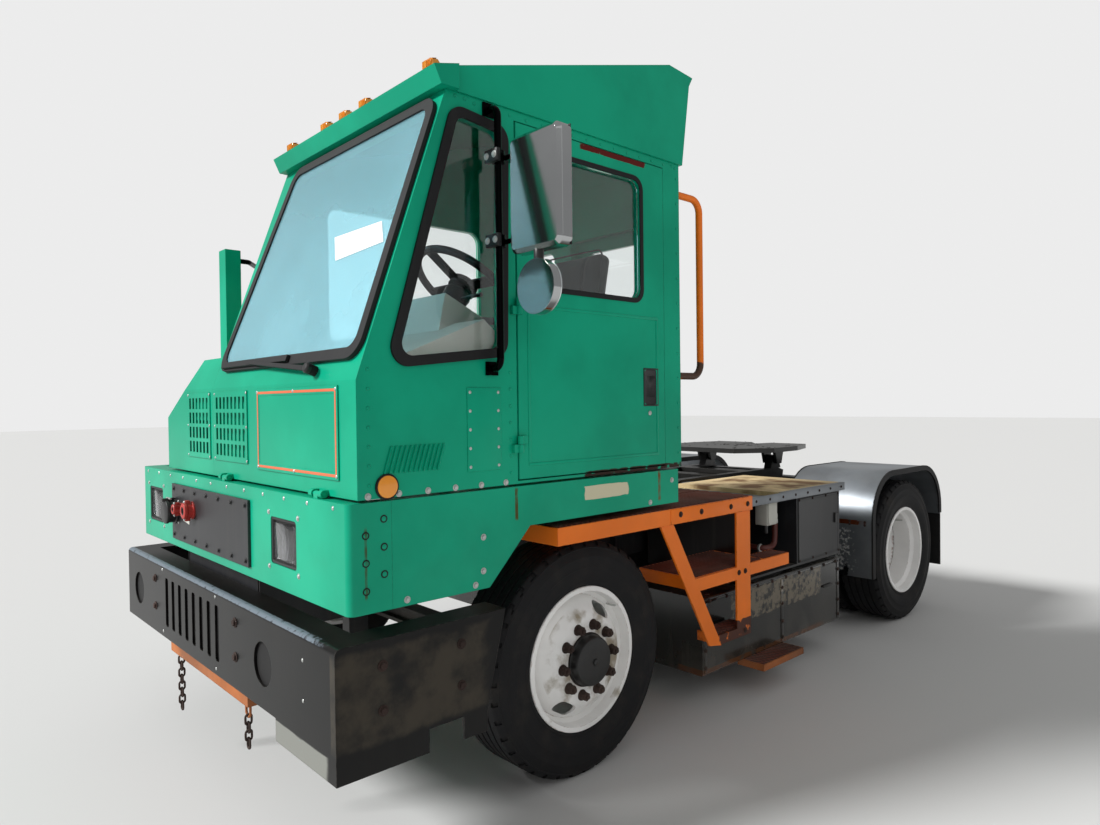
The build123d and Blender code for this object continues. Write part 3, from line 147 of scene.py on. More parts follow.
class Tree:
    """A material's node tree, with short calls for the nodes that the finishes share."""

    def __init__(self, name):
        self.material = bpy.data.materials.new(name)
        self.material.use_nodes = True
        self.nodes = self.material.node_tree.nodes
        self.links = self.material.node_tree.links
        self.shader = self.nodes["Principled BSDF"]
        self.place = self.add("ShaderNodeTexCoord").outputs["Object"]

    def add(self, kind, settings=None, **inputs):
        node = self.nodes.new(kind)
        for key, value in (settings or {}).items():
            setattr(node, key, value)
        for key, value in inputs.items():
            self.feed(node.inputs[key.replace("_", " ")], value)
        return node

    def feed(self, socket, value):
        if isinstance(value, bpy.types.NodeSocket):
            self.links.new(value, socket)
        elif hasattr(socket.default_value, "__len__") and not hasattr(value, "__len__"):
            socket.default_value = [value] * len(socket.default_value)
        elif hasattr(value, "__len__") and len(value) == 3 and len(socket.default_value) == 4:
            socket.default_value = (*value, 1)
        else:
            socket.default_value = value

    def set(self, **inputs):
        for key, value in inputs.items():
            self.feed(self.shader.inputs[key.replace("_", " ")], value)
        return self

    def noise(self, scale, detail, stretch=None):
        """Noise on Object coordinates, stretched by the given factors."""
        where = self.place
        if stretch:
            where = self.add("ShaderNodeMapping", Vector=where, Scale=stretch).outputs[0]
        node = self.add("ShaderNodeTexNoise", Vector=where, Scale=scale, Detail=detail, Roughness=0.55)
        return node.outputs["Fac"]

    def ramp(self, value, low, high, out_low=0.0, out_high=1.0):
        """A value mapped from low..high to out_low..out_high, held at the ends."""
        return self.add("ShaderNodeMapRange", {"interpolation_type": "SMOOTHSTEP"}, Value=value, From_Min=low,
                        From_Max=high, To_Min=out_low, To_Max=out_high).outputs[0]

    def math(self, operation, a, b):
        node = self.add("ShaderNodeMath", {"operation": operation, "use_clamp": operation != "SUBTRACT"})
        self.feed(node.inputs[0], a)
        self.feed(node.inputs[1], b)
        return node.outputs[0]

    def mix(self, share, a, b):
        """Colour a where share is 0, b where it is 1."""
        node = self.add("ShaderNodeMix", {"data_type": "RGBA"})
        self.feed(node.inputs["Factor"], share)
        self.feed(node.inputs[6], a)
        self.feed(node.inputs[7], b)
        return node.outputs[2]

    def axis(self, letter):
        """One Object coordinate."""
        return self.add("ShaderNodeSeparateXYZ", Vector=self.place).outputs[letter]

    def facing_up(self):
        """1 on tops, 0 on upright and lower faces."""
        normal = self.add("ShaderNodeNewGeometry").outputs["Normal"]
        return self.ramp(self.add("ShaderNodeSeparateXYZ", Vector=normal).outputs["Z"], 0.5, 0.9)

    def edges(self, width):
        """1 along convex and concave edges, 0 on flats."""
        bevel = self.add("ShaderNodeBevel", {"samples": 4}, Radius=width).outputs[0]
        normal = self.add("ShaderNodeNewGeometry").outputs["Normal"]
        dot = self.add("ShaderNodeVectorMath", {"operation": "DOT_PRODUCT"})
        self.feed(dot.inputs[0], bevel)
        self.feed(dot.inputs[1], normal)
        return self.ramp(dot.outputs["Value"], 0.985, 0.93)

    def soft_edges(self, width, bump, strength, distance):
        """Rounds the shading of edges, with a bump on top."""
        normal = self.add("ShaderNodeBevel", {"samples": 4}, Radius=width).outputs[0]
        return self.set(Normal=self.add("ShaderNodeBump", Height=bump, Strength=strength, Distance=distance,
                                        Normal=normal).outputs[0])

    def patch(self, centre, half, scale, low, high):
        """1 in the specks of a noise inside a box of Object space, ragged towards the box's sides."""
        moved = self.add("ShaderNodeMapping", Vector=self.place, Scale=[1 / h for h in half],
                         Location=[-c / h for c, h in zip(centre, half)]).outputs[0]
        size = self.add("ShaderNodeVectorMath", {"operation": "ABSOLUTE"})
        self.feed(size.inputs[0], moved)
        split = self.add("ShaderNodeSeparateXYZ", Vector=size.outputs[0])
        most = self.math("MAXIMUM", split.outputs[0], split.outputs[1])
        most = self.math("MAXIMUM", most, split.outputs[2])
        return self.ramp(self.math("MULTIPLY", self.ramp(most, 1, 0.65), self.noise(scale, 7)), low, high)


DUST = linear("9a9486")
RUST = "5a2c17"
RUST_BRIGHT = "8a4a22"
# sky blue of the windscreen's film: a painted reflection of the sky
PAINTED_SKY_TINT = (0.46, 0.86, 0.97)


def aged(name, colour, rough, dust=0.5, wear=0.0, wear_colour=RUST, metallic=0.0, coat=0.0, fade=0.12,
         dust_low=0.0, dust_high=0.9, streaks=0.3, grain=90, bump=0.12, round_edges=0.003, specular=0.5,
         patches=()):
    """Paint or metal with faded patches, dust that thickens downwards and on tops, worn edges, and listed
    marks, some of which are painted highlights and reflections.
    """
    t = Tree(name)
    if isinstance(colour, str):
        colour = linear(colour)
    faded = [min(1, c * (1 + fade) + 0.02 * fade) for c in colour]
    deep = [c * (1 - fade) for c in colour]
    base = t.mix(t.ramp(t.noise(1.7, 5), 0.35, 0.68), deep, faded)
    low = t.ramp(t.axis("Z"), dust_low, dust_high, 1, 0)
    blotch = t.ramp(t.noise(5.5, 8), 0.38, 0.72)
    run = t.ramp(t.noise(26, 4, (1, 1, 0.07)), 0.5, 0.75)
    settled = t.math("ADD", t.math("MULTIPLY", low, 0.75), t.math("MULTIPLY", t.facing_up(), 0.8))
    amount = t.math("MULTIPLY", settled, t.math("ADD", blotch, 0.25))
    amount = t.math("MULTIPLY", t.math("ADD", amount, t.math("MULTIPLY", run, streaks * 0.35)), dust)
    base = t.mix(amount, base, DUST)
    gloss = t.ramp(amount, 0, 1, rough, min(1.0, rough + 0.45))
    if wear:
        chipped = t.math("MULTIPLY", t.edges(looks().edge_wear), t.ramp(t.noise(34, 6), 0.46, 0.62))
        chipped = t.math("MULTIPLY", chipped, wear)
        base = t.mix(chipped, base, linear(wear_colour))
        gloss = t.math("ADD", gloss, t.math("MULTIPLY", chipped, 0.4))
    for centre, half, shade, scale, low_at, high_at in patches:
        mask = t.patch(centre, half, scale, low_at, high_at)
        base = t.mix(mask, base, linear(shade))
    t.set(Base_Color=base, Roughness=gloss, Metallic=metallic, Coat_Weight=coat, Coat_Roughness=0.12,
          Specular_IOR_Level=specular)
    return t.soft_edges(round_edges, t.noise(grain, 6), bump, 0.0006)


# Marks, some of them painted highlights and reflections: middle, half size, colour, scale of the noise, where
# the mark begins and where it is full
GREEN_MARKS = [
    ((1.298, -1.268, 1.190), (0.02, 0.165, 0.034), "d2ccae", 9, 0.30, 0.34),
    ((1.30, -1.21, 2.556), (0.04, 0.24, 0.016), "5e1712", 30, 0.26, 0.36),
    ((1.298, -1.10, 1.262), (0.02, 0.42, 0.020), "2c1a10", 26, 0.36, 0.42),
    ((1.298, -0.937, 1.185), (0.02, 0.011, 0.085), "6b4a1e", 18, 0.22, 0.55),
    ((1.298, -1.751, 1.185), (0.02, 0.009, 0.075), "4e4a22", 18, 0.22, 0.6),
    ((1.298, -2.36, 1.06), (0.02, 0.006, 0.14), "3c5a3a", 18, 0.25, 0.6),
]
ORANGE_MARKS = [
    ((1.27, -0.60, 1.66), (0.06, 0.30, 0.09), "4a3020", 24, 0.30, 0.42),
    ((1.2, -0.25, 0.42), (0.2, 0.3, 0.06), "4a2415", 22, 0.28, 0.40),
    ((1.2, 0.11, 0.19), (0.2, 0.3, 0.06), "3e1c12", 20, 0.18, 0.34),
]
BUMPER_MARKS_AND_HIGHLIGHT = [
    ((1.05, -2.476, 0.445), (0.24, 0.014, 0.046), "7d7e78", 11, 0.05, 0.30),
    # bluish grey band along the bumper's top front edge: a painted highlight, the sky's reflection on the
    # satin edge
    ((0, -2.47, 0.822), (1.5, 0.02, 0.012), "6d7780", 60, 0.26, 0.44),
    ((1.31, -2.2, 0.65), (0.03, 0.4, 0.20), "3b352c", 6, 0.34, 0.60),
]
BOX_MARKS = [
    ((1.15, 0.3, 0.46), (0.012, 0.62, 0.11), "6f6656", 30, 0.36, 0.56),
    ((1.15, -0.3, 0.18), (0.2, 1.4, 0.03), "5a3a24", 14, 0.28, 0.5),
]
WHEEL_MARKS = [
    ((0.93, 1.9, 0.485), (0.09, 0.12, 0.12), "6b3418", 12, 0.26, 0.46),
    ((1.19, -1.3, 0.485), (0.03, 0.29, 0.29), "9a8f7c", 8, 0.42, 0.62),
]
ZINC_MARKS_AND_GLINTS = [
    # near-white specks on the fender front: painted glints of the bumpy, reflective metal
    ((0, 1.320, 0.55), (1.4, 0.008, 0.185), "f4f4f2", 52, 0.40, 0.52),
    ((0, 1.320, 0.45), (1.4, 0.008, 0.20), "17181a", 9, 0.50, 0.56),
    ((0, 1.320, 0.735), (1.4, 0.012, 0.018), "7a3a1a", 30, 0.2, 0.34),
]
MIRROR_MARKS = [
    ((1.34, -1.84, 2.15), (0.052, 0.2, 0.7), "0c0c0d", 3, 0.0, 0.02),
    ((-0.95, -1.6, 2.06), (0.43, 0.6, 0.5), "0c0c0d", 3, 0.0, 0.02),
]
DASH_MARKS = [
    ((0.82, -1.70, 1.955), (0.06, 0.085, 0.10), "1b1b1c", 3, 0.0, 0.02),
]
WOOD_MARKS = [
    ((0.82, 0.6, 1.02), (0.42, 0.45, 0.02), "7a5a38", 5, 0.40, 0.62),
]

# the trees of the finishes, by short name
FINISHES = {}


def finish_of(name):
    """The material of a finish."""
    return FINISHES[name].material


def make_finishes():
    """Makes every finish, from the panel's colours where it has one."""
    s = looks()
    f = FINISHES
    f["green"] = aged("body_green", list(s.body_green), 0.3, dust=0.02, coat=0.05, streaks=0.5, dust_low=0.9,
                      dust_high=1.5, wear=0.3, wear_colour="0b4a38", bump=0.04, grain=240, specular=0.12,
                      patches=GREEN_MARKS)
    f["orange"] = aged("step_orange", list(s.step_orange), 0.42, dust=0.1, wear=0.9,
                       streaks=0.5, bump=0.08, specular=0.35, patches=ORANGE_MARKS)
    f["black"] = aged("black_steel", list(s.steel_black), 0.42, dust=0.24, wear=0.5, wear_colour="4e4a44",
                      streaks=0.5, dust_high=0.8)
    f["bumper"] = aged("bumper_black", "100f0f", 0.3, dust=0.03, wear=0.6, wear_colour="5f5c56",
                       streaks=0.4, dust_high=0.6, specular=0.18, patches=BUMPER_MARKS_AND_HIGHLIGHT)
    f["gloss_black"] = aged("gloss_black", "131211", 0.2, dust=0.3, wear=0.5, wear_colour="777066",
                            coat=0.4, streaks=0.6, dust_high=0.5, patches=BOX_MARKS)
    f["white"] = aged("wheel_white", list(s.wheel_white), 0.35, dust=0.08, wear=0.6, wear_colour=RUST_BRIGHT,
                      dust_high=0.5, streaks=0.3, patches=WHEEL_MARKS)
    f["iron"] = aged("rusty_iron", "2f1a12", 0.85, dust=0.12, fade=0.4, grain=160, bump=0.6)
    f["axle"] = aged("axle_iron", "1d1b1a", 0.7, dust=0.4, grain=120, bump=0.4)
    f["grease"] = aged("greasy_steel", "0f0e0c", 0.3, dust=0.08, fade=0.5, grain=38, bump=0.9, streaks=0)
    f["zinc"] = aged("dull_zinc", "8d9297", 0.42, dust=0.2, metallic=0.75, fade=0.25, grain=160, bump=0.25,
                     patches=ZINC_MARKS_AND_GLINTS)
    f["beam"] = aged("worn_beam", "a2581c", 0.65, dust=0.2, wear=0.9, fade=0.4, grain=60, bump=0.4)
    f["chrome"] = aged("ground_chrome", "d8d8d6", 0.14, dust=0.1, metallic=1.0, fade=0.03, bump=0.02)
    f["mirror_steel"] = aged("polished_steel", "b9bbbc", 0.1, dust=0.05, metallic=1.0, fade=0.06, bump=0.03,
                             patches=MIRROR_MARKS)
    f["rubber"] = aged("black_rubber", "131315", 0.62, dust=0.1, bump=0.2, specular=0.3)
    f["plastic"] = aged("grey_plastic", "c3c3ba", 0.5, dust=0.1, bump=0.25, grain=420, patches=DASH_MARKS)
    f["dark_plastic"] = aged("dark_plastic", "161617", 0.4, dust=0.06, bump=0.2, grain=420)
    f["wood"] = aged("weathered_board", "d8bd8c", 0.8, dust=0.3, fade=0.2, grain=60, bump=0.4,
                     patches=WOOD_MARKS)
    f["screw"] = aged("zinc_screws", "bfc1be", 0.35, dust=0.1, metallic=0.6, grain=200)
    f["red_lens"] = aged("red_lens", "8d0f10", 0.15, dust=0.1, coat=0.6)
    f["amber"] = aged("amber_lens", "fb9a1c", 0.18, dust=0.05, coat=0.6)
    f["coupling_red"] = aged("coupling_red", "a52a22", 0.45, dust=0.2, wear=0.4)
    f["salmon"] = aged("salmon_stripe", "e8714a", 0.35, dust=0.05, wear=0.2, specular=0.3)
    f["rust_dark"] = aged("rusty_plate", "241410", 0.85, dust=0.15, fade=0.5, grain=120, bump=0.6)
    f["rust_strand"] = aged("rusty_strands", "6b3020", 0.7, dust=0.2, fade=0.5, grain=120, bump=0.5)
    f["mirror"] = aged("mirror_glass", "dfe4e6", 0.03, dust=0.05, metallic=1.0, fade=0.01, bump=0.0)
    f["label"] = aged("blank_label", "f2f2f0", 0.4, dust=0.05, fade=0.02, bump=0.02)
    f["pipe_red"] = aged("red_brown_pipe", "5a2018", 0.5, dust=0.15, fade=0.3)
    f["cloth"] = cloth_finish()
    f["tyre"] = tyre_finish()
    # the last number is the share of the painted sky reflection on the windscreen
    f["glass"] = glass_finish("window_glass", (0.965, 0.995, 0.99), 0.0, 0.30)
    f["lamp_glass"] = glass_finish("lamp_glass", (0.97, 0.98, 1.0), 0.05)


def tyre_finish():
    t = Tree("tyre_rubber")
    dusty = t.ramp(t.noise(9, 8), 0.45, 0.8, 0, 0.45)
    base = t.mix(dusty, linear("131315"), linear("332e28"))
    t.set(Base_Color=base, Roughness=0.72, Specular_IOR_Level=0.3)
    return t.soft_edges(0.002, t.noise(150, 5), 0.25, 0.0006)


def cloth_finish():
    """Dark woven seat cloth, its threads crossing every two millimetres."""
    t = Tree("seat_cloth")
    threads = [t.add("ShaderNodeTexWave", {"bands_direction": way}, Vector=t.place, Scale=78, Distortion=0.6,
                     Detail=1).outputs["Fac"] for way in ("X", "DIAGONAL")]
    weave = t.math("MULTIPLY", *threads)
    base = t.mix(t.ramp(t.noise(5, 6), 0.35, 0.7), linear("1a1a1d"), linear("2b2a2c"))
    base = t.mix(t.math("MULTIPLY", weave, 0.5), base, linear("45454a"))
    t.set(Base_Color=base, Roughness=0.9, Sheen_Weight=0.3, Specular_IOR_Level=0.3)
    return t.soft_edges(0.001, weave, 0.35, 0.0008)


def glass_finish(name, tint, rough, painted_sky=0.0):
    """Clear glass; the last argument is the share of a pale sky-blue film on the windscreen alone, a painted
    reflection of the sky, thicker low down.
    """
    t = Tree(name)
    smear = t.ramp(t.noise(3, 6), 0.4, 0.8, rough, rough + 0.03)
    t.set(Base_Color=tint, Roughness=smear, IOR=1.5, Transmission_Weight=1.0)
    # a pale sky-blue film over the windscreen: a painted reflection of the sky, thicker low down
    if painted_sky:
        left = t.ramp(t.axis("X"), 1.266, 1.270, 1, 0)
        across = t.math("MULTIPLY", left, t.ramp(t.axis("X"), 0.058, 0.062))
        front = t.math("MULTIPLY", t.ramp(t.axis("Y"), -1.80, -1.75, 1, 0), across)
        thick = t.math("MULTIPLY", t.ramp(t.axis("Z"), 1.7, 2.6, painted_sky * 1.2, painted_sky * 0.75),
                       t.ramp(t.noise(4, 7), 0.3, 0.7, 0.9, 1.05))
        painted_sky = t.math("MULTIPLY", front, thick)
        t.set(Base_Color=t.mix(front, tint, PAINTED_SKY_TINT), Transmission_Weight=t.math("SUBTRACT", 1.0, painted_sky))
    return t


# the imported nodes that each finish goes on
NODE_FINISH = {
    "green": ["front_fascia", "side_skirts", "mirror_post", "cab_shell", "cab_roof", "hood", "grille_plates",
              "cover_panel", "side_door", "rear_door"],
    "orange": ["walkway", "step_ladder", "grab_rail"],
    "bumper": ["front_bumper"],
    "black": ["frame", "service_plate", "equipment_cabinet", "air_tanks", "lift_cylinders"],
    "gloss_black": ["battery_boxes"],
    "white": ["wheel_front_left", "wheel_front_right", "wheels_rear_left", "wheels_rear_right"],
    "tyre": ["tyre_front_left", "tyre_front_right", "tyres_rear_left", "tyres_rear_right"],
    "rubber": ["window_rubbers", "mud_flaps", "wiper", "steering_wheel"],
    "glass": ["cab_glass", "door_glass", "rear_door_glass"],
    "lamp_glass": ["headlamps"],
    "amber": ["marker_lamps"],
    "red_lens": ["tail_lamps"],
    "mirror_steel": ["mirror_left", "mirror_right"],
    "zinc": ["rear_fenders"],
    "grease": ["coupler_plate", "lift_boom"],
    "axle": ["front_axle", "rear_axle", "knuckle_left", "knuckle_right", "drive_motor"],
    "chrome": ["lift_rods"],
    "beam": ["tow_beam", "low_step"],
    "dark_plastic": ["seat"],
    "plastic": ["dash_console"],
    "wood": ["deck_board"],
}


class TRACTOR_OT_finishes(bpy.types.Operator):
    """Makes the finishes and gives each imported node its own"""

    bl_idname = "tractor.finishes"
    bl_label = "Finishes"

    def execute(self, context):
        make_finishes()
        for finish, names in NODE_FINISH.items():
            for name in names:
                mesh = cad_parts[name].data
                mesh.materials.clear()
                mesh.materials.append(finish_of(finish))
        return {"FINISHED"}


# Mesh helpers. Each makes one shape in a bmesh of its own, in metres.

def soften(bm, by, segments=2, angle=30):
    """Rounds the edges that are sharper than the angle in degrees."""
    if by:
        sharp = [e for e in bm.edges if len(e.link_faces) == 2 and e.calc_face_angle() > math.radians(angle)]
        bmesh.ops.bevel(bm, geom=sharp, offset=by, offset_type="OFFSET", segments=segments, profile=0.5,
                        affect="EDGES", material=-1, clamp_overlap=True)
    return bm


def block(low, high, round_by=0.0, segments=2):
    """A box from its lowest to its highest corner."""
    bm = bmesh.new()
    middle = [(a + b) / 2 for a, b in zip(low, high)]
    size = [abs(b - a) for a, b in zip(low, high)]
    bmesh.ops.create_cube(bm, size=1, matrix=Matrix.Translation(middle) @ Matrix.Diagonal((*size, 1)))
    return soften(bm, round_by, segments)


def rod(start, end, r, r_end=None, sides=24, round_by=0.0, segments=2):
    """A round or many-sided bar from start to end."""
    bm = bmesh.new()
    start, end = Vector(start), Vector(end)
    along = end - start
    turn = along.to_track_quat("Z", "Y").to_matrix().to_4x4()
    bmesh.ops.create_cone(bm, cap_ends=True, segments=sides, radius1=r, radius2=r if r_end is None else r_end,
                          depth=along.length, matrix=Matrix.Translation((start + end) / 2) @ turn)
    return soften(bm, round_by, segments, 50)


def lathe(profile, centre, axis="X", steps=48, sign=1):
    """A closed outline of (along, radius) points, spun about the axis through centre."""
    bm = bmesh.new()
    verts = [bm.verts.new((a * sign, 0, r)) for a, r in profile]
    edges = [bm.edges.new((a, b)) for a, b in zip(verts, verts[1:] + verts[:1])]
    bmesh.ops.spin(bm, geom=verts + edges, cent=(0, 0, 0), axis=(1, 0, 0), dvec=(0, 0, 0), angle=math.tau,
                   steps=steps, use_merge=True, use_duplicate=False)
    bmesh.ops.remove_doubles(bm, verts=bm.verts, dist=1e-6)
    bmesh.ops.dissolve_degenerate(bm, dist=1e-6, edges=bm.edges)
    bmesh.ops.recalc_face_normals(bm, faces=bm.faces)
    turn = {"X": Matrix(), "Y": turned(90, "Z"), "Z": turned(-90, "Y")}
    bmesh.ops.transform(bm, matrix=Matrix.Translation(centre) @ turn[axis], verts=bm.verts)
    return bm


def plate(outline, thick, place=None, round_by=0.0, segments=2):
    """A sheet: a flat outline in local X and Y, thick along local Z."""
    bm = bmesh.new()
    face = bm.faces.new([bm.verts.new((x, y, 0)) for x, y in outline])
    grown = bmesh.ops.extrude_face_region(bm, geom=[face])["geom"]
    bmesh.ops.translate(bm, vec=(0, 0, thick), verts=[v for v in grown if isinstance(v, bmesh.types.BMVert)])
    bmesh.ops.recalc_face_normals(bm, faces=bm.faces)
    soften(bm, round_by, segments)
    if place is not None:
        bmesh.ops.transform(bm, matrix=place, verts=bm.verts)
    return bm


def band(outer, inner, thick, place, closed=False):
    """A flat strip between two lines of points in local X and Y, thick along local Z."""
    bm = bmesh.new()
    lines = [[bm.verts.new((x, y, 0)) for x, y in line] for line in (outer, inner)]
    pairs = list(zip(*lines)) + ([(lines[0][0], lines[1][0])] if closed else [])
    faces = [bm.faces.new((a[0], b[0], b[1], a[1])) for a, b in zip(pairs, pairs[1:])]
    grown = bmesh.ops.extrude_face_region(bm, geom=faces)["geom"]
    bmesh.ops.translate(bm, vec=(0, 0, thick), verts=[v for v in grown if isinstance(v, bmesh.types.BMVert)])
    bmesh.ops.recalc_face_normals(bm, faces=bm.faces)
    bmesh.ops.transform(bm, matrix=place, verts=bm.verts)
    return bm


def round_corner(x, y, r, start, end, steps=7):
    """Points on an arc about (x, y), angles in degrees."""
    turns = [math.radians(start + (end - start) * i / steps) for i in range(steps + 1)]
    return [(x + r * math.cos(a), y + r * math.sin(a)) for a in turns]


def rounded(x0, y0, x1, y1, r, steps=7):
    """The outline of a rectangle with round corners."""
    corners = ((x1 - r, y0 + r, -90), (x1 - r, y1 - r, 0), (x0 + r, y1 - r, 90), (x0 + r, y0 + r, 180))
    return [point for x, y, start in corners for point in round_corner(x, y, r, start, start + 90, steps)]


def pipe(points, r, sides=8):
    """A round bar along a smooth line through the middle of the points' runs."""
    curve = bpy.data.curves.new("line", "CURVE")
    curve.dimensions = "3D"
    curve.bevel_depth = r
    curve.bevel_resolution = sides // 4
    curve.use_fill_caps = True
    line = curve.splines.new("NURBS")
    line.points.add(len(points) - 1)
    for point, where in zip(line.points, points):
        point.co = (*where, 1)
    line.order_u = 3
    line.use_endpoint_u = True
    line.resolution_u = 8
    holder = bpy.data.objects.new("line", curve)
    mesh = bpy.data.meshes.new_from_object(holder)
    bm = bmesh.new()
    bm.from_mesh(mesh)
    bpy.data.objects.remove(holder)
    bpy.data.curves.remove(curve)
    bpy.data.meshes.remove(mesh)
    bmesh.ops.remove_doubles(bm, verts=bm.verts, dist=1e-6)
    bmesh.ops.recalc_face_normals(bm, faces=bm.faces)
    return bm


def at(x, y, z):
    return Matrix.Translation((x, y, z))


def turned(degrees, axis):
    return Matrix.Rotation(math.radians(degrees), 4, axis)


def on_wheel(x, y, z, side):
    """Local Z out of a wheel's outer face; side is +1 on the left."""
    return at(x, y, z) @ turned(90 * side, "Y")


def on_x(x, y=0.0, z=0.0, side=1):
    """Local X runs to +Y and local Y up, with local Z out of a side face at x."""
    return Matrix(((0, 0, side, x), (1, 0, 0, y), (0, 1, 0, z), (0, 0, 0, 1)))


def on_front(y, x=0.0, z=0.0):
    """Local X runs to +X and local Y up, with local Z out of a front face at y."""
    return Matrix(((1, 0, 0, x), (0, 0, -1, y), (0, 1, 0, z), (0, 0, 0, 1)))


def on_back(y, x=0.0, z=0.0):
    """Local X runs to -X and local Y up, with local Z out of a rear face at y."""
    return Matrix(((-1, 0, 0, x), (0, 0, 1, y), (0, 1, 0, z), (0, 0, 0, 1)))


def on_screen(out, x=0.0, z=0.0):
    """Local X runs to +X and local Y up the raked windscreen, with local Z out of it."""
    k = math.hypot(1, rake)
    y = cab_front_y + (z - brow_z) * rake
    return Matrix(((1, 0, 0, x), (0, rake / k, -1 / k, y - out / k), (0, 1 / k, rake / k, z + out * rake / k),
                   (0, 0, 0, 1)))


class Piece:
    """A piece in the making: shapes are added to one mesh, each with its own finish."""

    def __init__(self, name, body, *finishes):
        self.name, self.body, self.finishes = name, body, finishes
        self.bm = bmesh.new()

    def add(self, shape, finish=0, places=(None,)):
        """Adds the shape, or one copy of it at each place."""
        mesh = bpy.data.meshes.new("shape")
        for face in shape.faces:
            face.material_index = finish
        shape.to_mesh(mesh)
        shape.free()
        for place in places:
            first = len(self.bm.verts)
            self.bm.from_mesh(mesh)
            if place is not None:
                self.bm.verts.ensure_lookup_table()
                new = self.bm.verts[first:]
                bmesh.ops.transform(self.bm, matrix=place, verts=new)
        bpy.data.meshes.remove(mesh)
        return self

    def both_sides(self):
        """Adds the mirror image on the other side of X = 0."""
        geom = self.bm.verts[:] + self.bm.edges[:] + self.bm.faces[:]
        copy = bmesh.ops.duplicate(self.bm, geom=geom)["geom"]
        verts = [g for g in copy if isinstance(g, bmesh.types.BMVert)]
        bmesh.ops.scale(self.bm, vec=(-1, 1, 1), verts=verts)
        bmesh.ops.reverse_faces(self.bm, faces=[g for g in copy if isinstance(g, bmesh.types.BMFace)])
        return self

    def done(self, replaces=(), slot=None, smooth=35):
        mesh = bpy.data.meshes.new(self.name)
        self.bm.to_mesh(mesh)
        self.bm.free()
        for name in self.finishes:
            mesh.materials.append(finish_of(name))
        mesh.shade_smooth()
        mesh.set_sharp_from_angle(angle=math.radians(smooth))
        piece = bpy.data.objects.new(self.name, mesh)
        bpy.context.scene.collection.objects.link(piece)
        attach(piece, self.body)
        if replaces:
            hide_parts(*replaces)
        return piece


def bolt(r=0.009, high=0.007, washer=True):
    """A hexagon bolt head on a washer, standing up along local Z from 0."""
    bm = rod((0, 0, 0), (0, 0, high), r, sides=6, round_by=r * 0.12, segments=1)
    if washer:
        ring = rod((0, 0, 0), (0, 0, high * 0.22), r * 1.5, sides=16)
        mesh = bpy.data.meshes.new("shape")
        ring.to_mesh(mesh)
        ring.free()
        bm.from_mesh(mesh)
        bpy.data.meshes.remove(mesh)
    return bm


def rivet(r, flat=0.35):
    """A low domed head, along local Z from 0."""
    bm = bmesh.new()
    bmesh.ops.create_uvsphere(bm, u_segments=10, v_segments=6, radius=r)
    bmesh.ops.bisect_plane(bm, geom=bm.verts[:] + bm.edges[:] + bm.faces[:], plane_co=(0, 0, 0),
                           plane_no=(0, 0, 1), clear_inner=True)
    bmesh.ops.holes_fill(bm, edges=bm.edges)
    bmesh.ops.scale(bm, vec=(1, 1, flat), verts=bm.verts)
    bmesh.ops.recalc_face_normals(bm, faces=bm.faces)
    return bm


def row(start, end, count):
    """Evenly spaced numbers from start to end."""
    return [start + (end - start) * i / (count - 1) for i in range(count)]


# Tyres and wheels

# name, body, side (+1 left), Y, middle X of each tyre
TYRES = [
    ("tyre_front_left", "roll_front_left", 1, axle_y, (outer_x,)),
    ("tyre_front_right", "roll_front_right", -1, axle_y, (outer_x,)),
    ("tyres_rear_left", "roll_rear_left", 1, rear_axle_y, (outer_x, inner_x)),
    ("tyres_rear_right", "roll_rear_right", -1, rear_axle_y, (outer_x, inner_x)),
]
# half of a tyre's outer section from its bead to the shoulder: distance from the middle, radius
SIDEWALL = [(0.1137, 0.2865), (0.1137, 0.2985), (0.1185, 0.301), (0.1215, 0.309), (0.1195, 0.3175),
            (0.1235, 0.332), (0.1302, 0.354), (0.1338, 0.373), (0.1336, 0.3765), (0.1348, 0.3785),
            (0.1348, 0.3825), (0.134, 0.3845), (0.1346, 0.403), (0.1332, 0.421), (0.1342, 0.4235),
            (0.1332, 0.4275), (0.1298, 0.4395), (0.1245, 0.457), (0.1262, 0.4605), (0.1222, 0.4665),
            (0.118, 0.4715), (0.113, 0.4795), (0.1085, 0.483)]
# middle of each groove of the tread, and the faces round a tyre, of which every fourth is a slot
GROOVES = (0.066, 0.022)
TREAD_STEPS = 160
SLOT_DEEP = 0.007


def tyre(middle_x, y, side):
    """A rib tyre with shoulder slots."""
    deep = looks().tread_deep
    tread = [(0.102, tyre_r)]
    for x in GROOVES:
        low = tyre_r - deep
        tread += [(x + 0.0055, tyre_r), (x + 0.0042, low), (x - 0.0042, low), (x - 0.0055, tyre_r)]
    half = SIDEWALL + tread
    inside = [(0.080, 0.2865), (0.099, 0.330), (0.116, 0.400), (0.096, 0.461)]
    profile = half + [(-x, r) for x, r in reversed(half)] + [(-x, r) for x, r in inside] + inside[::-1]
    bm = lathe(profile, (0, 0, 0), "X", TREAD_STEPS)
    slots = []
    for face in bm.faces:
        c = face.calc_center_median()
        r = math.hypot(c.y, c.z)
        turn = int((math.atan2(c.z, c.y) + math.pi) / math.tau * TREAD_STEPS + 0.5) % TREAD_STEPS
        if 0.1 < abs(c.x) < 0.1225 and r > 0.464 and turn % 4 == 0:
            slots.append(face)
    grown = bmesh.ops.extrude_face_region(bm, geom=slots)["geom"]
    for v in {g for g in grown if isinstance(g, bmesh.types.BMVert)}:
        r = math.hypot(v.co.y, v.co.z)
        v.co.y *= (r - SLOT_DEEP) / r
        v.co.z *= (r - SLOT_DEEP) / r
        v.co.x *= 0.965
    bmesh.ops.delete(bm, geom=slots, context="FACES_KEEP_BOUNDARY")
    bmesh.ops.translate(bm, vec=(middle_x * side, y, axle_z), verts=bm.verts)
    return bm


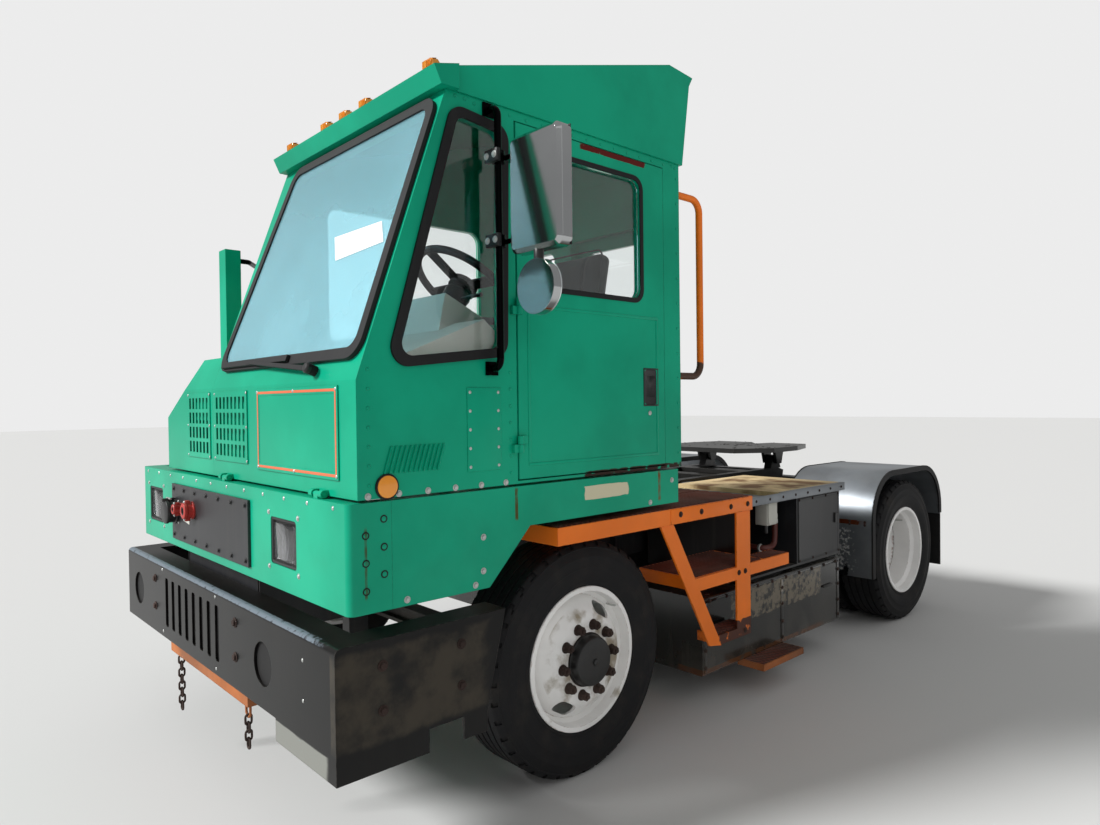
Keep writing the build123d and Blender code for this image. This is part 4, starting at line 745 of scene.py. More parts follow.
class TRACTOR_OT_tyres(bpy.types.Operator):
    """Tyres with a rib tread and shaped sidewalls"""

    bl_idname = "tractor.tyres"
    bl_label = "Tyres"

    def execute(self, context):
        for name, body, side, y, middles in TYRES:
            piece = Piece(name + "_treaded", body, "tyre")
            for x in middles:
                piece.add(tyre(x, y, side))
            piece.done(replaces=[name], slot="tyre_rubber", smooth=28)
        return {"FINISHED"}


# name, body, side, Y, X of the disc's face, front or rear
WHEELS = [
    ("front_left", "roll_front_left", 1, axle_y, 1.203, True),
    ("front_right", "roll_front_right", -1, axle_y, 1.203, True),
    ("rear_left", "roll_rear_left", 1, rear_axle_y, 0.927, False),
    ("rear_right", "roll_rear_right", -1, rear_axle_y, 0.927, False),
]
# a rim's section from its outer flange to the middle: distance from the middle, radius
RIM_OUT = [(0.123, 0.277), (0.123, 0.2962), (0.1212, 0.2982), (0.1165, 0.2985), (0.1142, 0.296),
           (0.114, 0.2862), (0.074, 0.2812), (0.052, 0.262)]
RIM_IN = [(0.056, 0.253), (0.078, 0.271), (0.118, 0.2755)]
# the disc's outer surface from the hub to the well: how far in from the mounting face, radius
DISC = [(0.0, 0.110), (0.0, 0.171), (0.003, 0.181), (0.012, 0.197), (0.030, 0.2185), (0.050, 0.236),
        (0.068, 0.2495), (0.080, 0.2545)]
# angles of the hand holes, and how far the nuts are turned from the top
HAND_HOLES = (-31, 149)
NUT_TURN = math.radians(14)


def bake(piece):
    """Applies a piece's modifiers to its mesh."""
    seen = piece.evaluated_get(bpy.context.evaluated_depsgraph_get())
    mesh = bpy.data.meshes.new_from_object(seen)
    piece.modifiers.clear()
    old, piece.data = piece.data, mesh
    bpy.data.meshes.remove(old)


def carved(shape, cutters):
    """The shape with the cutters taken away."""
    parts = []
    for number, bm in enumerate([shape] + cutters):
        mesh = bpy.data.meshes.new("carve_%d" % number)
        bm.to_mesh(mesh)
        bm.free()
        part = bpy.data.objects.new(mesh.name, mesh)
        bpy.context.scene.collection.objects.link(part)
        parts.append(part)
    body = parts[0]
    for cutter in parts[1:]:
        cut = body.modifiers.new("cut", "BOOLEAN")
        cut.operation = "DIFFERENCE"
        cut.solver = "EXACT"
        cut.object = cutter
    bake(body)
    bm = bmesh.new()
    bm.from_mesh(body.data)
    for part in parts:
        mesh = part.data
        bpy.data.objects.remove(part)
        bpy.data.meshes.remove(mesh)
    return bm


def wheel_disc(face, way, deep):
    """A dished disc with two oval hand holes; way is +1 where its face looks to +X."""
    thick = 0.011
    scale = deep / DISC[-1][0]
    outer = [(face - way * x * scale, r) for x, r in DISC]
    inner = [(x - way * thick, r - 0.004) for x, r in outer[1:]]
    bm = lathe(outer + inner[::-1] + [(face - way * thick, DISC[0][1])], (0, 0, 0), "X", 96)
    through = at(face - 0.12, 0, 0.212) @ turned(90, "Y")
    oval = rounded(-0.025, -0.052, 0.025, 0.052, 0.0249, 6)
    return carved(bm, [plate(oval, 0.2, turned(angle, "X") @ through) for angle in HAND_HOLES])


def rim(middle):
    """One rim about the X axis, its middle at the given X."""
    half = RIM_OUT + [(-x, r) for x, r in reversed(RIM_OUT)]
    inside = [(-x, r) for x, r in reversed(RIM_IN)] + RIM_IN
    return lathe(half + inside, (middle, 0, 0), "X", 96)


def sided(bm, side, y):
    """Puts a shape made about the left wheel's axis on its side and axle."""
    if side < 0:
        bmesh.ops.scale(bm, vec=(-1, 1, 1), verts=bm.verts)
        bmesh.ops.reverse_faces(bm, faces=bm.faces)
    bmesh.ops.translate(bm, vec=(0, y, axle_z), verts=bm.verts)
    return bm


class TRACTOR_OT_wheels(bpy.types.Operator):
    """Rims, dished discs, wheel nuts with stud ends, hub caps and valves"""

    bl_idname = "tractor.wheels"
    bl_label = "Wheel nuts and hubs"

    def execute(self, context):
        for name, body, side, y, face_x, front in WHEELS:
            piece = Piece("wheel_turned_" + name, body, "white", "iron")
            if front:
                shapes = [rim(outer_x), wheel_disc(face_x, 1, 0.080)]
                hub_line = [(1.105, 0.0405), (1.105, 0.096), (1.1905, 0.108), (1.1905, 0.122),
                            (1.2025, 0.122), (1.2035, 0.1), (1.2135, 0.1), (1.2135, 0.0405)]
            else:
                shapes = [rim(outer_x), wheel_disc(face_x, 1, -0.080)]
                shapes += [rim(inner_x), wheel_disc(0.903, -1, -0.080)]
                hub_line = [(0.825, 0.0605), (0.825, 0.100), (0.895, 0.112), (0.955, 0.112), (0.955, 0.104),
                            (1.011, 0.096), (1.011, 0.0605)]
            for shape in shapes:
                piece.add(sided(shape, side, y))
            piece.add(sided(lathe(hub_line, (0, 0, 0), "X", 64), side, y), 1)
            packed = "wheel_" + name if front else "wheels_" + name
            piece.done(replaces=[packed], slot="wheel_white", smooth=30)
            piece = Piece("nuts_" + name, body, "iron", "screw")
            turns = []
            for i in range(10):
                angle = math.tau / 10 * i - NUT_TURN
                over, up = nut_circle * math.sin(angle), nut_circle * math.cos(angle)
                place = on_wheel(face_x * side, y - over, axle_z + up, side)
                turns.append(place @ Matrix.Rotation(angle * 2.7, 4, "Z"))
            # washer, nut and stud end
            for low, high, r, r_end, sides, soft in ((-0.001, 0.006, 0.0235, 0.0215, 20, 0.0015),
                                                     (0.005, 0.0315, 0.0195, 0.019, 6, 0.002),
                                                     (0.031, 0.041, 0.0095, 0.0085, 12, 0.001)):
                piece.add(rod((0, 0, low), (0, 0, high), r, r_end, sides, soft), 0, turns)
            piece.done(slot="wheel_white")
            hub = Piece("hub_" + name, body, "dark_plastic" if front else "iron", "screw")
            where = (face_x * side, y, axle_z)
            if front:
                dome = [(0.0002, 0.0), (0.0002, 0.1075), (0.0065, 0.1075), (0.009, 0.1045), (0.034, 0.1005),
                        (0.0415, 0.0955), (0.0445, 0.083), (0.046, 0.055), (0.0465, 0.0)]
                hub.add(lathe(dome, where, "X", 56, side))
                hub.add(rod((0, 0, 0), (0, 0, 0.008), 0.016, 0.013, sides=6, round_by=0.0015), 0,
                        [on_wheel((face_x + 0.0462) * side, y, axle_z, side)])
            else:
                ring = [(0.0885, 0.0), (0.0885, 0.0815), (0.0935, 0.0815), (0.095, 0.079), (0.095, 0.0)]
                hub.add(lathe(ring, where, "X", 48, side))
                circle = round_corner(y, axle_z, 0.066, 22.5, 337.5, 7)
                places = [on_wheel((face_x + 0.095) * side, a, b, side) for a, b in circle]
                hub.add(bolt(0.0085, 0.007), 0, places)
            valve = [(1.140, 0.262), (1.170, 0.260), (1.193, 0.264)]
            if not front:
                valve = [(1.042, 0.246), (1.07, 0.243), (1.1, 0.25)]
            slant = math.sqrt(0.5)
            line = [(x * side, y + r * slant, axle_z + r * slant) for x, r in valve]
            hub.add(pipe(line, 0.0042), 1)
            hub.done(slot="wheel_white")
        return {"FINISHED"}


# Front: bumper, fascia, lamps and service plate

# middle X of each headlamp, and the height of both
HEADLAMPS = [("headlamp_left", 0.822), ("headlamp_right", -0.685)]
LAMP_Z = 1.071
TOW_HOLES = (-0.776, 0.776)
TOW_HOLE_Z = 0.649
# the beam under the bumper: its low face and the line that the chains hang on
BEAM_LOW = 0.445
CHAIN_Y = aft(-1.154)
# X of each chain, drop of its staple, half the staple's width, number of links
CHAINS = ((-0.215, 0.004, 0.011, 8), (0.568, 0.030, 0.020, 4))
LINK_STEP = 0.0297

class TRACTOR_OT_front_fasteners(bpy.types.Operator):
    """Fasteners of bumper and fascia, dark sheets behind the bumper's openings that paint the shade inside
    it, and the two chains
    """

    bl_idname = "tractor.front_fasteners"
    bl_label = "Front bolts and screws"

    def execute(self, context):
        front = bumper_y
        piece = Piece("bumper_bolts", "chassis", "iron", "screw")
        spots = [(x, z) for x in (-0.50, 0.52) for z in (0.612, 0.742)]
        piece.add(bolt(0.013, 0.010), 0, [on_front(front, x, z) for x, z in spots])
        spots = [(-0.385, 0.80), (0.31, 0.80), (-0.385, 0.515), (0.31, 0.515), (1.10, 0.612), (1.10, 0.742)]
        piece.add(rivet(0.007), 1, [on_front(front, x, z) for x, z in spots])
        side = [(aft(y), z) for y in (-1.02, -0.72) for z in (0.60, 0.74)]
        piece.add(bolt(0.012, 0.009), 0, [on_x(1.32, y, z) for y, z in side])
        piece.add(bolt(0.012, 0.009), 0, [on_x(-0.972, y, z, -1) for y, z in side])
        piece.done(slot="black_steel")
        piece = Piece("fascia_screws", "chassis", "screw")
        corners = [(dx, dz) for dx in (-0.122, 0.122) for dz in (-0.098, 0.098)]
        spots = [(x + dx, LAMP_Z + dz) for _, x in HEADLAMPS for dx, dz in corners]
        piece.add(bolt(0.0065, 0.004), 0, [on_front(fascia_y, x, z) for x, z in spots])
        piece.add(rivet(0.008), 0, [on_front(fascia_y, x, 1.228) for x in row(-0.82, 1.2, 12)])
        piece.done(slot="green_paint")
        # black sheets behind the bumper's slots and tow holes: painted shade inside the bumper
        back = Piece("bumper_shade_backs", "chassis", "rubber")
        back.add(block((-0.47, front + 0.030, 0.515), (0.39, front + 0.034, 0.805), 0.001))
        for x in TOW_HOLES:
            disc = [(0.0101, 0.0), (0.0101, 0.092), (0.016, 0.092), (0.016, 0.0)]
            back.add(lathe(disc, (x, front, TOW_HOLE_Z), "Y", 40))
        back.done(slot="black_steel")
        chains = Piece("beam_chains", "chassis", "iron", "beam")
        link = rounded(-0.0115, -0.0195, 0.0115, 0.0195, 0.01149, 6)
        for x, leg, half, count in CHAINS:
            low = BEAM_LOW - leg
            arc = [(x + a, CHAIN_Y, low + b) for a, b in round_corner(0, 0, half, 180, 360, 8)]
            ends = [(x + way * half, CHAIN_Y, BEAM_LOW + 0.002) for way in (-1, 1)]
            chains.add(pipe([ends[0], *arc, ends[1]], 0.005, 8), 1)
            ring = pipe([(a, b, 0) for a, b in link + link[:1]], 0.0045, 8)
            top = low - half - 0.0105
            places = [at(x, CHAIN_Y, top - LINK_STEP * i) @ turned(90 * (i + 1), "Z") for i in range(count)]
            chains.add(ring, 0, [place @ turned(90, "X") for place in places])
        chains.done(slot="rust_beam")
        return {"FINISHED"}


class TRACTOR_OT_headlamps(bpy.types.Operator):
    """Rectangular headlamps: black surround, bright bowl, bulb and fluted glass"""

    bl_idname = "tractor.headlamps"
    bl_label = "Headlamps"

    def execute(self, context):
        pieces = []
        for name, x in HEADLAMPS:
            piece = Piece(name, "chassis", "dark_plastic", "chrome", "lamp_glass", "screw")
            y, z = fascia_y + 0.002, LAMP_Z
            half_x, half_z = 0.1055, 0.0835
            frame_box = block((x - half_x, y, z - half_z), (x + half_x, y + 0.056, z + half_z))
            front = [f for f in frame_box.faces if f.normal.y < -0.9]
            bmesh.ops.inset_region(frame_box, faces=front, thickness=0.013, depth=0)
            bmesh.ops.inset_region(frame_box, faces=front, thickness=0.004, depth=-0.010)
            piece.add(soften(frame_box, 0.0015))
            bowl = block((x - 0.088, y + 0.0101, z - 0.066), (x + 0.088, y + 0.052, z + 0.066))
            front = [f for f in bowl.faces if f.normal.y < -0.9]
            bmesh.ops.inset_region(bowl, faces=front, thickness=0.006, depth=0)
            bmesh.ops.inset_region(bowl, faces=front, thickness=0.026, depth=-0.034)
            piece.add(soften(bowl, 0.004, 3), 1)
            bulb = [(-0.036, 0), (-0.036, 0.011), (-0.018, 0.011), (-0.013, 0.008), (-0.012, 0)]
            piece.add(lathe(bulb, (x, y + 0.048, z), "Y", 20), 2)
            glass = block((x - 0.0865, y + 0.0025, z - 0.0645), (x + 0.0865, y + 0.006, z + 0.0645), 0.0012)
            piece.add(glass, 2)
            flute = rod((0, 0, -0.06), (0, 0, 0.06), 0.0016, sides=6)
            piece.add(flute, 2, [at(x + dx * 0.0115, y + 0.0062, z) for dx in range(-7, 8)])
            pieces.append(piece)
        pieces[0].done(replaces=["headlamps"], slot="lamp_glass")
        pieces[1].done(slot="lamp_glass")
        return {"FINISHED"}


class TRACTOR_OT_service_plate(bpy.types.Operator):
    """Bolts, capped round socket, couplings and blank tag of the black plate"""

    bl_idname = "tractor.service_plate"
    bl_label = "Service plate fittings"

    def execute(self, context):
        face = fascia_y - 0.0103
        piece = Piece("service_bolts", "chassis", "dark_plastic")
        spots = [(x, z) for x in row(-0.372, 0.497, 7) for z in (0.962, 1.173)]
        piece.add(bolt(0.0075, 0.006), 0, [on_front(face, x, z) for x, z in spots])
        piece.done(slot="black_steel")
        piece = Piece("charge_socket_cap", "chassis", "dark_plastic", "screw")
        x, z = -0.352, 1.07
        cap = [(0.0, 0.0), (0.0, 0.058), (0.008, 0.058), (0.010, 0.052), (0.034, 0.051), (0.036, 0.055),
               (0.047, 0.054), (0.050, 0.049), (0.050, 0.0)]
        piece.add(lathe(cap, (x, face, z), "Y", 40, -1))
        piece.add(block((-0.364, face - 0.058, 1.118), (-0.340, face - 0.002, 1.132), 0.003))
        piece.add(rod((-0.382, face - 0.028, 1.13), (-0.322, face - 0.028, 1.13), 0.005, sides=12), 1)
        spots = [(x + dx, z + dz) for dx in (-0.048, 0.048) for dz in (-0.048, 0.048)]
        piece.add(bolt(0.005, 0.004), 1, [on_front(face - 0.0005, a, b) for a, b in spots])
        piece.done(slot="black_steel")
        piece = Piece("air_couplings", "chassis", "coupling_red", "screw", "rubber")
        for x, z, r in ((-0.110, 1.096, 0.031), (-0.250, 1.090, 0.021)):
            body = [(0.0, 0.0), (0.0, r * 1.25), (0.006, r * 1.25), (0.008, r * 1.02), (0.026, r * 1.02),
                    (0.030, r * 1.12), (0.0405, r * 1.10), (0.043, r * 0.95), (0.043, r * 0.62),
                    (0.036, r * 0.5), (0.036, 0.0)]
            piece.add(lathe(body, (x, face, z), "Y", 32, -1))
            seal = [(0.0362, r * 0.36), (0.0362, r * 0.6), (0.0415, r * 0.58), (0.0415, r * 0.38)]
            piece.add(lathe(seal, (x, face, z), "Y", 24, -1), 2)
            wide, high = r * 0.35, r * 1.45
            piece.add(block((x - wide, face - 0.034, z - high), (x + wide, face - 0.012, z + high), 0.003))
            piece.add(bolt(0.005, 0.004), 1, [on_front(face - 0.034, x, z + s * r * 1.25) for s in (-1, 1)])
        piece.done(slot="black_steel")
        piece = Piece("blank_tag", "chassis", "plastic")
        tag = [(0, 0), (0.062, -0.008), (0.066, 0.030), (0.004, 0.038)]
        piece.add(plate(tag, 0.0016, on_front(face - 0.0002, -0.215, 1.035), 0.0006, 1))
        piece.done(slot="lamp_glass")
        return {"FINISHED"}


# Walkway and steps

# X and Y of two opposite corners of each expanded-metal area, and its top
GRATINGS = {
    "walkway_grating": [(0.995, aft(-0.240), 1.292, aft(1.080), 1.070),
                        (-0.440, aft(0.610), 0.983, aft(1.080), 1.070)],
    "ladder_grating": [(0.960, aft(0.637), 1.272, aft(1.216), 0.728),
                       (1.175, aft(1.236), 1.272, aft(1.458), 0.728),
                       (1.175, aft(0.815), 1.272, aft(1.072), 0.425)],
    "low_step_grating": [(1.120, aft(1.245), 1.262, aft(1.630), 0.1717)],
}
# how far the strands are apart along Y, and their slope across X
STRAND_PITCH = 0.030
STRAND_SLOPE = 0.42


def expanded_metal(x0, y0, x1, y1, top):
    """Strands that cross in long diamonds over a rectangle, cut off at its edges."""
    bm = bmesh.new()
    wide = x1 - x0
    reach = wide * STRAND_SLOPE
    count = int((y1 - y0 + reach) / STRAND_PITCH) + 2
    for i in range(count):
        for way in (1, -1):
            middle_y = y0 - reach / 2 + (i + 0.5) * STRAND_PITCH
            long = wide * math.hypot(1, STRAND_SLOPE) + 0.02
            turn = Matrix.Rotation(math.atan(STRAND_SLOPE) * way, 4, "Z")
            where = at((x0 + x1) / 2, middle_y, top + 0.0016 + 0.0009 * way)
            tilt = turned(24 * way, "X")
            slat = Matrix.Diagonal((long, 0.0062, 0.0026, 1))
            bmesh.ops.create_cube(bm, size=1, matrix=where @ turn @ tilt @ slat)
    for co, no in (((x0, 0, 0), (-1, 0, 0)), ((x1, 0, 0), (1, 0, 0)),
                   ((0, y0, 0), (0, -1, 0)), ((0, y1, 0), (0, 1, 0))):
        parts = bm.verts[:] + bm.edges[:] + bm.faces[:]
        cut = bmesh.ops.bisect_plane(bm, geom=parts, plane_co=co, plane_no=no, clear_outer=True)
        edges = [e for e in cut["geom_cut"] if isinstance(e, bmesh.types.BMEdge)]
        bmesh.ops.holes_fill(bm, edges=edges, sides=8)
    return bm


class TRACTOR_OT_gratings(bpy.types.Operator):
    """Expanded-metal tops of the walkway and the steps, with their bolts"""

    bl_idname = "tractor.gratings"
    bl_label = "Expanded-metal treads"

    def execute(self, context):
        for name, areas in GRATINGS.items():
            piece = Piece(name, "chassis", "rust_dark", "rust_strand", "iron")
            for x0, y0, x1, y1, top in areas:
                piece.add(block((x0, y0, top - 0.001), (x1, y1, top + 0.0004)))
                piece.add(expanded_metal(x0, y0, x1, y1, top), 1)
            piece.done(slot="orange_paint")
        piece = Piece("step_bolts", "chassis", "iron")
        spots = ((0.506, 1.041), (0.662, 1.037), (0.90, 1.035), (1.045, 1.035), (1.035, 0.70), (0.98, 0.70),
                 (1.03, 0.405))
        piece.add(bolt(0.009, 0.007), 0, [on_x(1.302 if z > 1 else 1.2917, aft(y), z) for y, z in spots])
        piece.done(slot="orange_paint")
        lap = Piece("walkway_lap", "chassis", "orange")
        lap.add(block((1.2995, aft(0.437), 1.0015), (1.3022, aft(1.089), 1.0685), 0.0008))
        lap.done(slot="orange_paint")
        return {"FINISHED"}


# Cab outside

class TRACTOR_OT_cab_fasteners(bpy.types.Operator):
    """Rivets, bolts, louvres, access panel and reflector of the cab's left side"""

    bl_idname = "tractor.cab_fasteners"
    bl_label = "Cab rivets, louvres and panels"

    def execute(self, context):
        r = looks().rivet_size
        piece = Piece("cab_rivets", "tilting_cab", "green", "screw")
        columns = [(aft(y), z) for y in (-1.045, -0.475) for z in row(1.30, 1.66, 7)]
        piece.add(rivet(r), 0, [on_x(side_x, y, z) for y, z in columns])
        piece.add(rivet(r), 0, [on_x(side_x, y, roof_line_z) for y in row(aft(-0.62), aft(0.49), 15)])
        piece.add(bolt(0.0075, 0.006), 1, [on_x(side_x, y, 1.266) for y in row(aft(-1.05), aft(-0.50), 6)])
        piece.add(rivet(r), 0, [on_x(side_x, aft(0.50), z) for z in row(1.32, 2.54, 12)])
        piece.done(slot="green_paint")

        piece = Piece("cab_louvres", "tilting_cab", "green")
        blade = block((-0.0052, -0.045, 0), (0.0052, 0.045, 0.007))
        for v in blade.verts:
            if v.co.z > 0.003:
                v.co.x = -0.0052 if v.co.x < 0 else -0.002
        soften(blade, 0.0012, 2)
        turn = turned(-18, "Z")
        places = [on_x(side_x, y, 1.375) @ turn for y in row(aft(-0.977), aft(-0.778), 12)]
        piece.add(blade, 0, places)
        piece.done(slot="green_paint")

        piece = Piece("access_panel", "tilting_cab", "green", "screw")
        y0, y1, z0, z1 = aft(-0.668), aft(-0.520), 1.315, 1.605
        piece.add(block((side_x - 0.0005, y0, z0), (side_x + 0.003, y1, z1), 0.0012))
        edge = [(y, z) for y in (y0 + 0.012, y1 - 0.012) for z in row(z0 + 0.016, z1 - 0.016, 5)]
        piece.add(rivet(r * 0.9), 1, [on_x(side_x + 0.003, y, z) for y, z in edge])
        piece.done(slot="green_paint")

        piece = Piece("side_reflector", "tilting_cab", "amber", "rubber")
        where = (side_x, aft(-0.984), 1.292)
        shape = [(0.0, 0.0), (0.0, 0.041), (0.006, 0.041), (0.0075, 0.038), (0.0075, 0.0)]
        piece.add(lathe(shape, where, "X", 32), 1)
        lens = [(0.0074, 0.0), (0.0074, 0.0355), (0.0095, 0.035), (0.0115, 0.028), (0.0125, 0.0)]
        piece.add(lathe(lens, where, "X", 32))
        piece.done(slot="amber_lens")
        return {"FINISHED"}


# X of each amber lamp on the visor
MARKERS = (0.150, 0.480, 0.640, 0.800, 1.240)


class TRACTOR_OT_marker_lamps(bpy.types.Operator):
    """Amber lamps on the visor, fluted, on black bases"""

    bl_idname = "tractor.marker_lamps"
    bl_label = "Marker lamps"

    def execute(self, context):
        piece = Piece("marker_lamps_fluted", "tilting_cab", "amber", "dark_plastic")
        tilt = math.atan2(0.028, 0.101)
        lens = block((-0.033, -0.022, 0.008), (0.033, 0.022, 0.038))
        for v in lens.verts:
            if v.co.z > 0.03:
                v.co.x *= 0.80
                v.co.y *= 0.62
        soften(lens, 0.007, 4)
        mesh = bpy.data.meshes.new("shape")
        flute = rod((0, -0.0225, 0.012), (0, -0.0165, 0.036), 0.0016, sides=6)
        flute.to_mesh(mesh)
        flute.free()
        for i in range(-4, 5):
            first = len(lens.verts)
            lens.from_mesh(mesh)
            lens.verts.ensure_lookup_table()
            bmesh.ops.translate(lens, vec=(i * 0.0062, 0, 0), verts=lens.verts[first:])
        bpy.data.meshes.remove(mesh)
        places = [at(x, aft(-0.7495), 2.6783) @ Matrix.Rotation(tilt, 4, "X") for x in MARKERS]
        base = block((-0.036, -0.025, 0), (0.036, 0.025, 0.009), 0.003)
        piece.add(lens, 0, places)
        piece.add(base, 1, places)
        piece.done(replaces=["marker_lamps"], slot="amber_lens")
        return {"FINISHED"}


class TRACTOR_OT_mirrors(bpy.types.Operator):
    """Mirror glasses with their bezels, the round lower mirrors and their clamps"""

    bl_idname = "tractor.mirrors"
    bl_label = "Mirror glasses and clamps"

    def execute(self, context):
        # name, body, side (+1 left), how far the right one is moved along Y and Z
        for name, body, side, dy, dz in (("mirror_glass_left", "tilting_cab", 1, 0, 0),
                                         ("mirror_glass_right", "chassis", -1, 0.42, -0.27)):
            piece = Piece(name, body, "mirror", "rubber", "dark_plastic", "screw")
            place = at(0, aft(0) + dy, dz) @ Matrix.Diagonal((side, 1, 1, 1))
            bezel = block((1.409, -0.5075, 2.059), (1.656, -0.5035, 2.446), 0.0015)
            piece.add(bezel, 1, [place])
            piece.add(block((1.420, -0.5037, 2.070), (1.645, -0.5022, 2.435)), 0, [place])
            dome = [(0.0, 0.0), (0.0, 0.093), (0.004, 0.093), (0.0055, 0.088), (0.011, 0.06), (0.0145, 0.03),
                    (0.0155, 0.0)]
            piece.add(lathe(dome, (1.530, -0.5225, 1.935), "Y", 40), 0, [place])
            for z in (2.11, 2.40):
                piece.add(block((1.318, -0.594, z - 0.022), (1.386, -0.576, z + 0.022), 0.003), 2, [place])
                piece.add(bolt(0.008, 0.007), 3, [place @ on_front(-0.594, x, z) for x in (1.331, 1.373)])
            neck = rod((1.53, -0.536, 2.015), (1.53, -0.536, 2.06), 0.017, sides=20, round_by=0.002)
            piece.add(neck, 2, [place])
            if side < 0:
                bmesh.ops.reverse_faces(piece.bm, faces=piece.bm.faces)
            piece.done(slot="mirror_steel")
        return {"FINISHED"}


class TRACTOR_OT_cover_panel(bpy.types.Operator):
    """Double border and screws of the bare cover panel, and the rivets of the grille plates"""

    bl_idname = "tractor.cover_panel"
    bl_label = "Cover panel border"

    def execute(self, context):
        piece = Piece("cover_border", "tilting_cab", "salmon", "screw")
        y = cab_front_y - 0.0043
        for inset, wide in ((0.010, 0.009), (0.034, 0.005)):
            x0, x1, z0, z1 = 0.526 + inset, 1.184 - inset, 1.310 + inset, 1.614 - inset
            deep = y - 0.0006 if inset < 0.02 else y + 0.0014
            low, high = z0 + wide, z1 - wide
            for a, b in (((x0, z0), (x1, low)), ((x0, high), (x1, z1)),
                         ((x0, low), (x0 + wide, high)), ((x1 - wide, low), (x1, high))):
                piece.add(block((a[0], deep, a[1]), (b[0], y + 0.003, b[1])))
        corners = [(x, z) for x in (0.538, 0.855, 1.172) for z in (1.322, 1.602)]
        piece.add(rivet(0.007), 1, [on_front(y - 0.0004, x, z) for x, z in corners])
        grille = [(x, z) for x in (-0.272, 0.006, 0.074, 0.424) for z in (1.334, 1.468, 1.603)]
        piece.add(rivet(0.006), 1, [on_front(y, x, z) for x, z in grille])
        piece.done(slot="green_paint")
        return {"FINISHED"}


class TRACTOR_OT_rail_feet(bpy.types.Operator):
    """Bolts of the grab rail's feet, and the side door's handle, border and window rubber"""

    bl_idname = "tractor.rail_feet"
    bl_label = "Grab rail bolts and door trim"

    def execute(self, context):
        piece = Piece("grab_rail_bolts", "tilting_cab", "iron")
        spots = [(1.268, z + dz) for z in (1.664, 2.484) for dz in (-0.038, 0.038)]
        turn = turned(180, "Z")
        places = [at(x, aft(0.5283), z) @ turn @ on_front(0) for x, z in spots]
        piece.add(bolt(0.009, 0.007), 0, places)
        piece.done(slot="orange_paint")
        piece = Piece("door_handle", "door_side", "dark_plastic", "screw", "rubber")
        x = 1.301
        y0, y1, z0, z1 = aft(0.266), aft(0.351), 1.536, 1.686
        ring = plate([(y0 - 0.006, z0 - 0.006), (y1 + 0.006, z0 - 0.006), (y1 + 0.006, z1 + 0.006),
                      (y0 - 0.006, z1 + 0.006)], 0.003, on_x(x - 0.0005))
        outer = [f for f in ring.faces if f.normal.x > 0.9]
        bmesh.ops.inset_region(ring, faces=outer, thickness=0.009, depth=0)
        bmesh.ops.inset_region(ring, faces=outer, thickness=0.002, depth=-0.0155)
        piece.add(soften(ring, 0.001, 2))
        paddle = block((x - 0.012, y0 + 0.012, 1.566), (x - 0.001, y1 - 0.010, 1.662), 0.004, 3)
        piece.add(paddle, 0)
        lock = [(0.0, 0.0), (0.0, 0.010), (0.002, 0.010), (0.003, 0.008), (0.003, 0.0)]
        piece.add(lathe(lock, (x, aft(0.30), 1.50), "X", 20), 1)
        piece.done(slot="green_paint")
        piece = Piece("door_outline", "door_side", "green", "rubber")
        y0, y1, z0, z1 = aft(-0.437), aft(0.402), 1.272, 2.566
        inset = 0.045
        runs = [((y0 + inset, z0 + inset), (y1 - inset, z0 + inset + 0.012)),
                ((y0 + inset, 1.90), (y1 - inset, 1.912)),
                ((y0 + inset, z0 + inset + 0.012), (y0 + inset + 0.012, 1.90)),
                ((y1 - inset - 0.012, z0 + inset + 0.012), (y1 - inset, 1.90))]
        for (ya, za), (yb, zb) in runs:
            piece.add(block((x - 0.001, ya, za), (x + 0.0022, yb, zb), 0.002, 2))
        y0, y1, z0, z1 = aft(-0.346), aft(0.266), 1.966, 2.500
        window = plate([(y0, z0), (y1, z0), (y1, z1), (y0, z1)], 0.0045, on_x(x - 0.001))
        corners = [e for e in window.edges if abs(e.verts[0].co.x - e.verts[1].co.x) > 0.004]
        bmesh.ops.bevel(window, geom=corners, offset=0.058, segments=6, profile=0.5, affect="EDGES",
                        material=-1)
        piece.add(rubber_ring(window, 0.020), 1)
        piece.done(slot="black_rubber")
        return {"FINISHED"}


def rubber_ring(sheet, wide):
    """Cuts the middle out of an upright sheet and leaves a ring of the given width."""
    middles = []
    for way in (1, -1):
        face = [f for f in sheet.faces if f.normal.x * way > 0.9]
        bmesh.ops.inset_region(sheet, faces=face, thickness=wide, depth=0)
        middles += face
    rims = [e for f in middles for e in f.edges]
    bmesh.ops.delete(sheet, geom=middles, context="FACES_ONLY")
    bmesh.ops.bridge_loops(sheet, edges=rims)
    bmesh.ops.recalc_face_normals(sheet, faces=sheet.faces)
    return sheet


# Trim along the chassis, the tank side and the back

# how far behind the front axle, and height, of the skirts' rivets and bolts
SKIRT = ((-1.060, 1.146), (-1.060, 1.060), (-1.060, 0.973), (-0.996, 1.192), (-0.996, 1.104),
         (-0.996, 1.018))
SKIRT_BOLTS = ((-0.604, 1.083), (-0.606, 0.965), (-0.641, 0.921), (-0.915, 0.922), (0.45, 1.20),
               (0.30, 1.115))


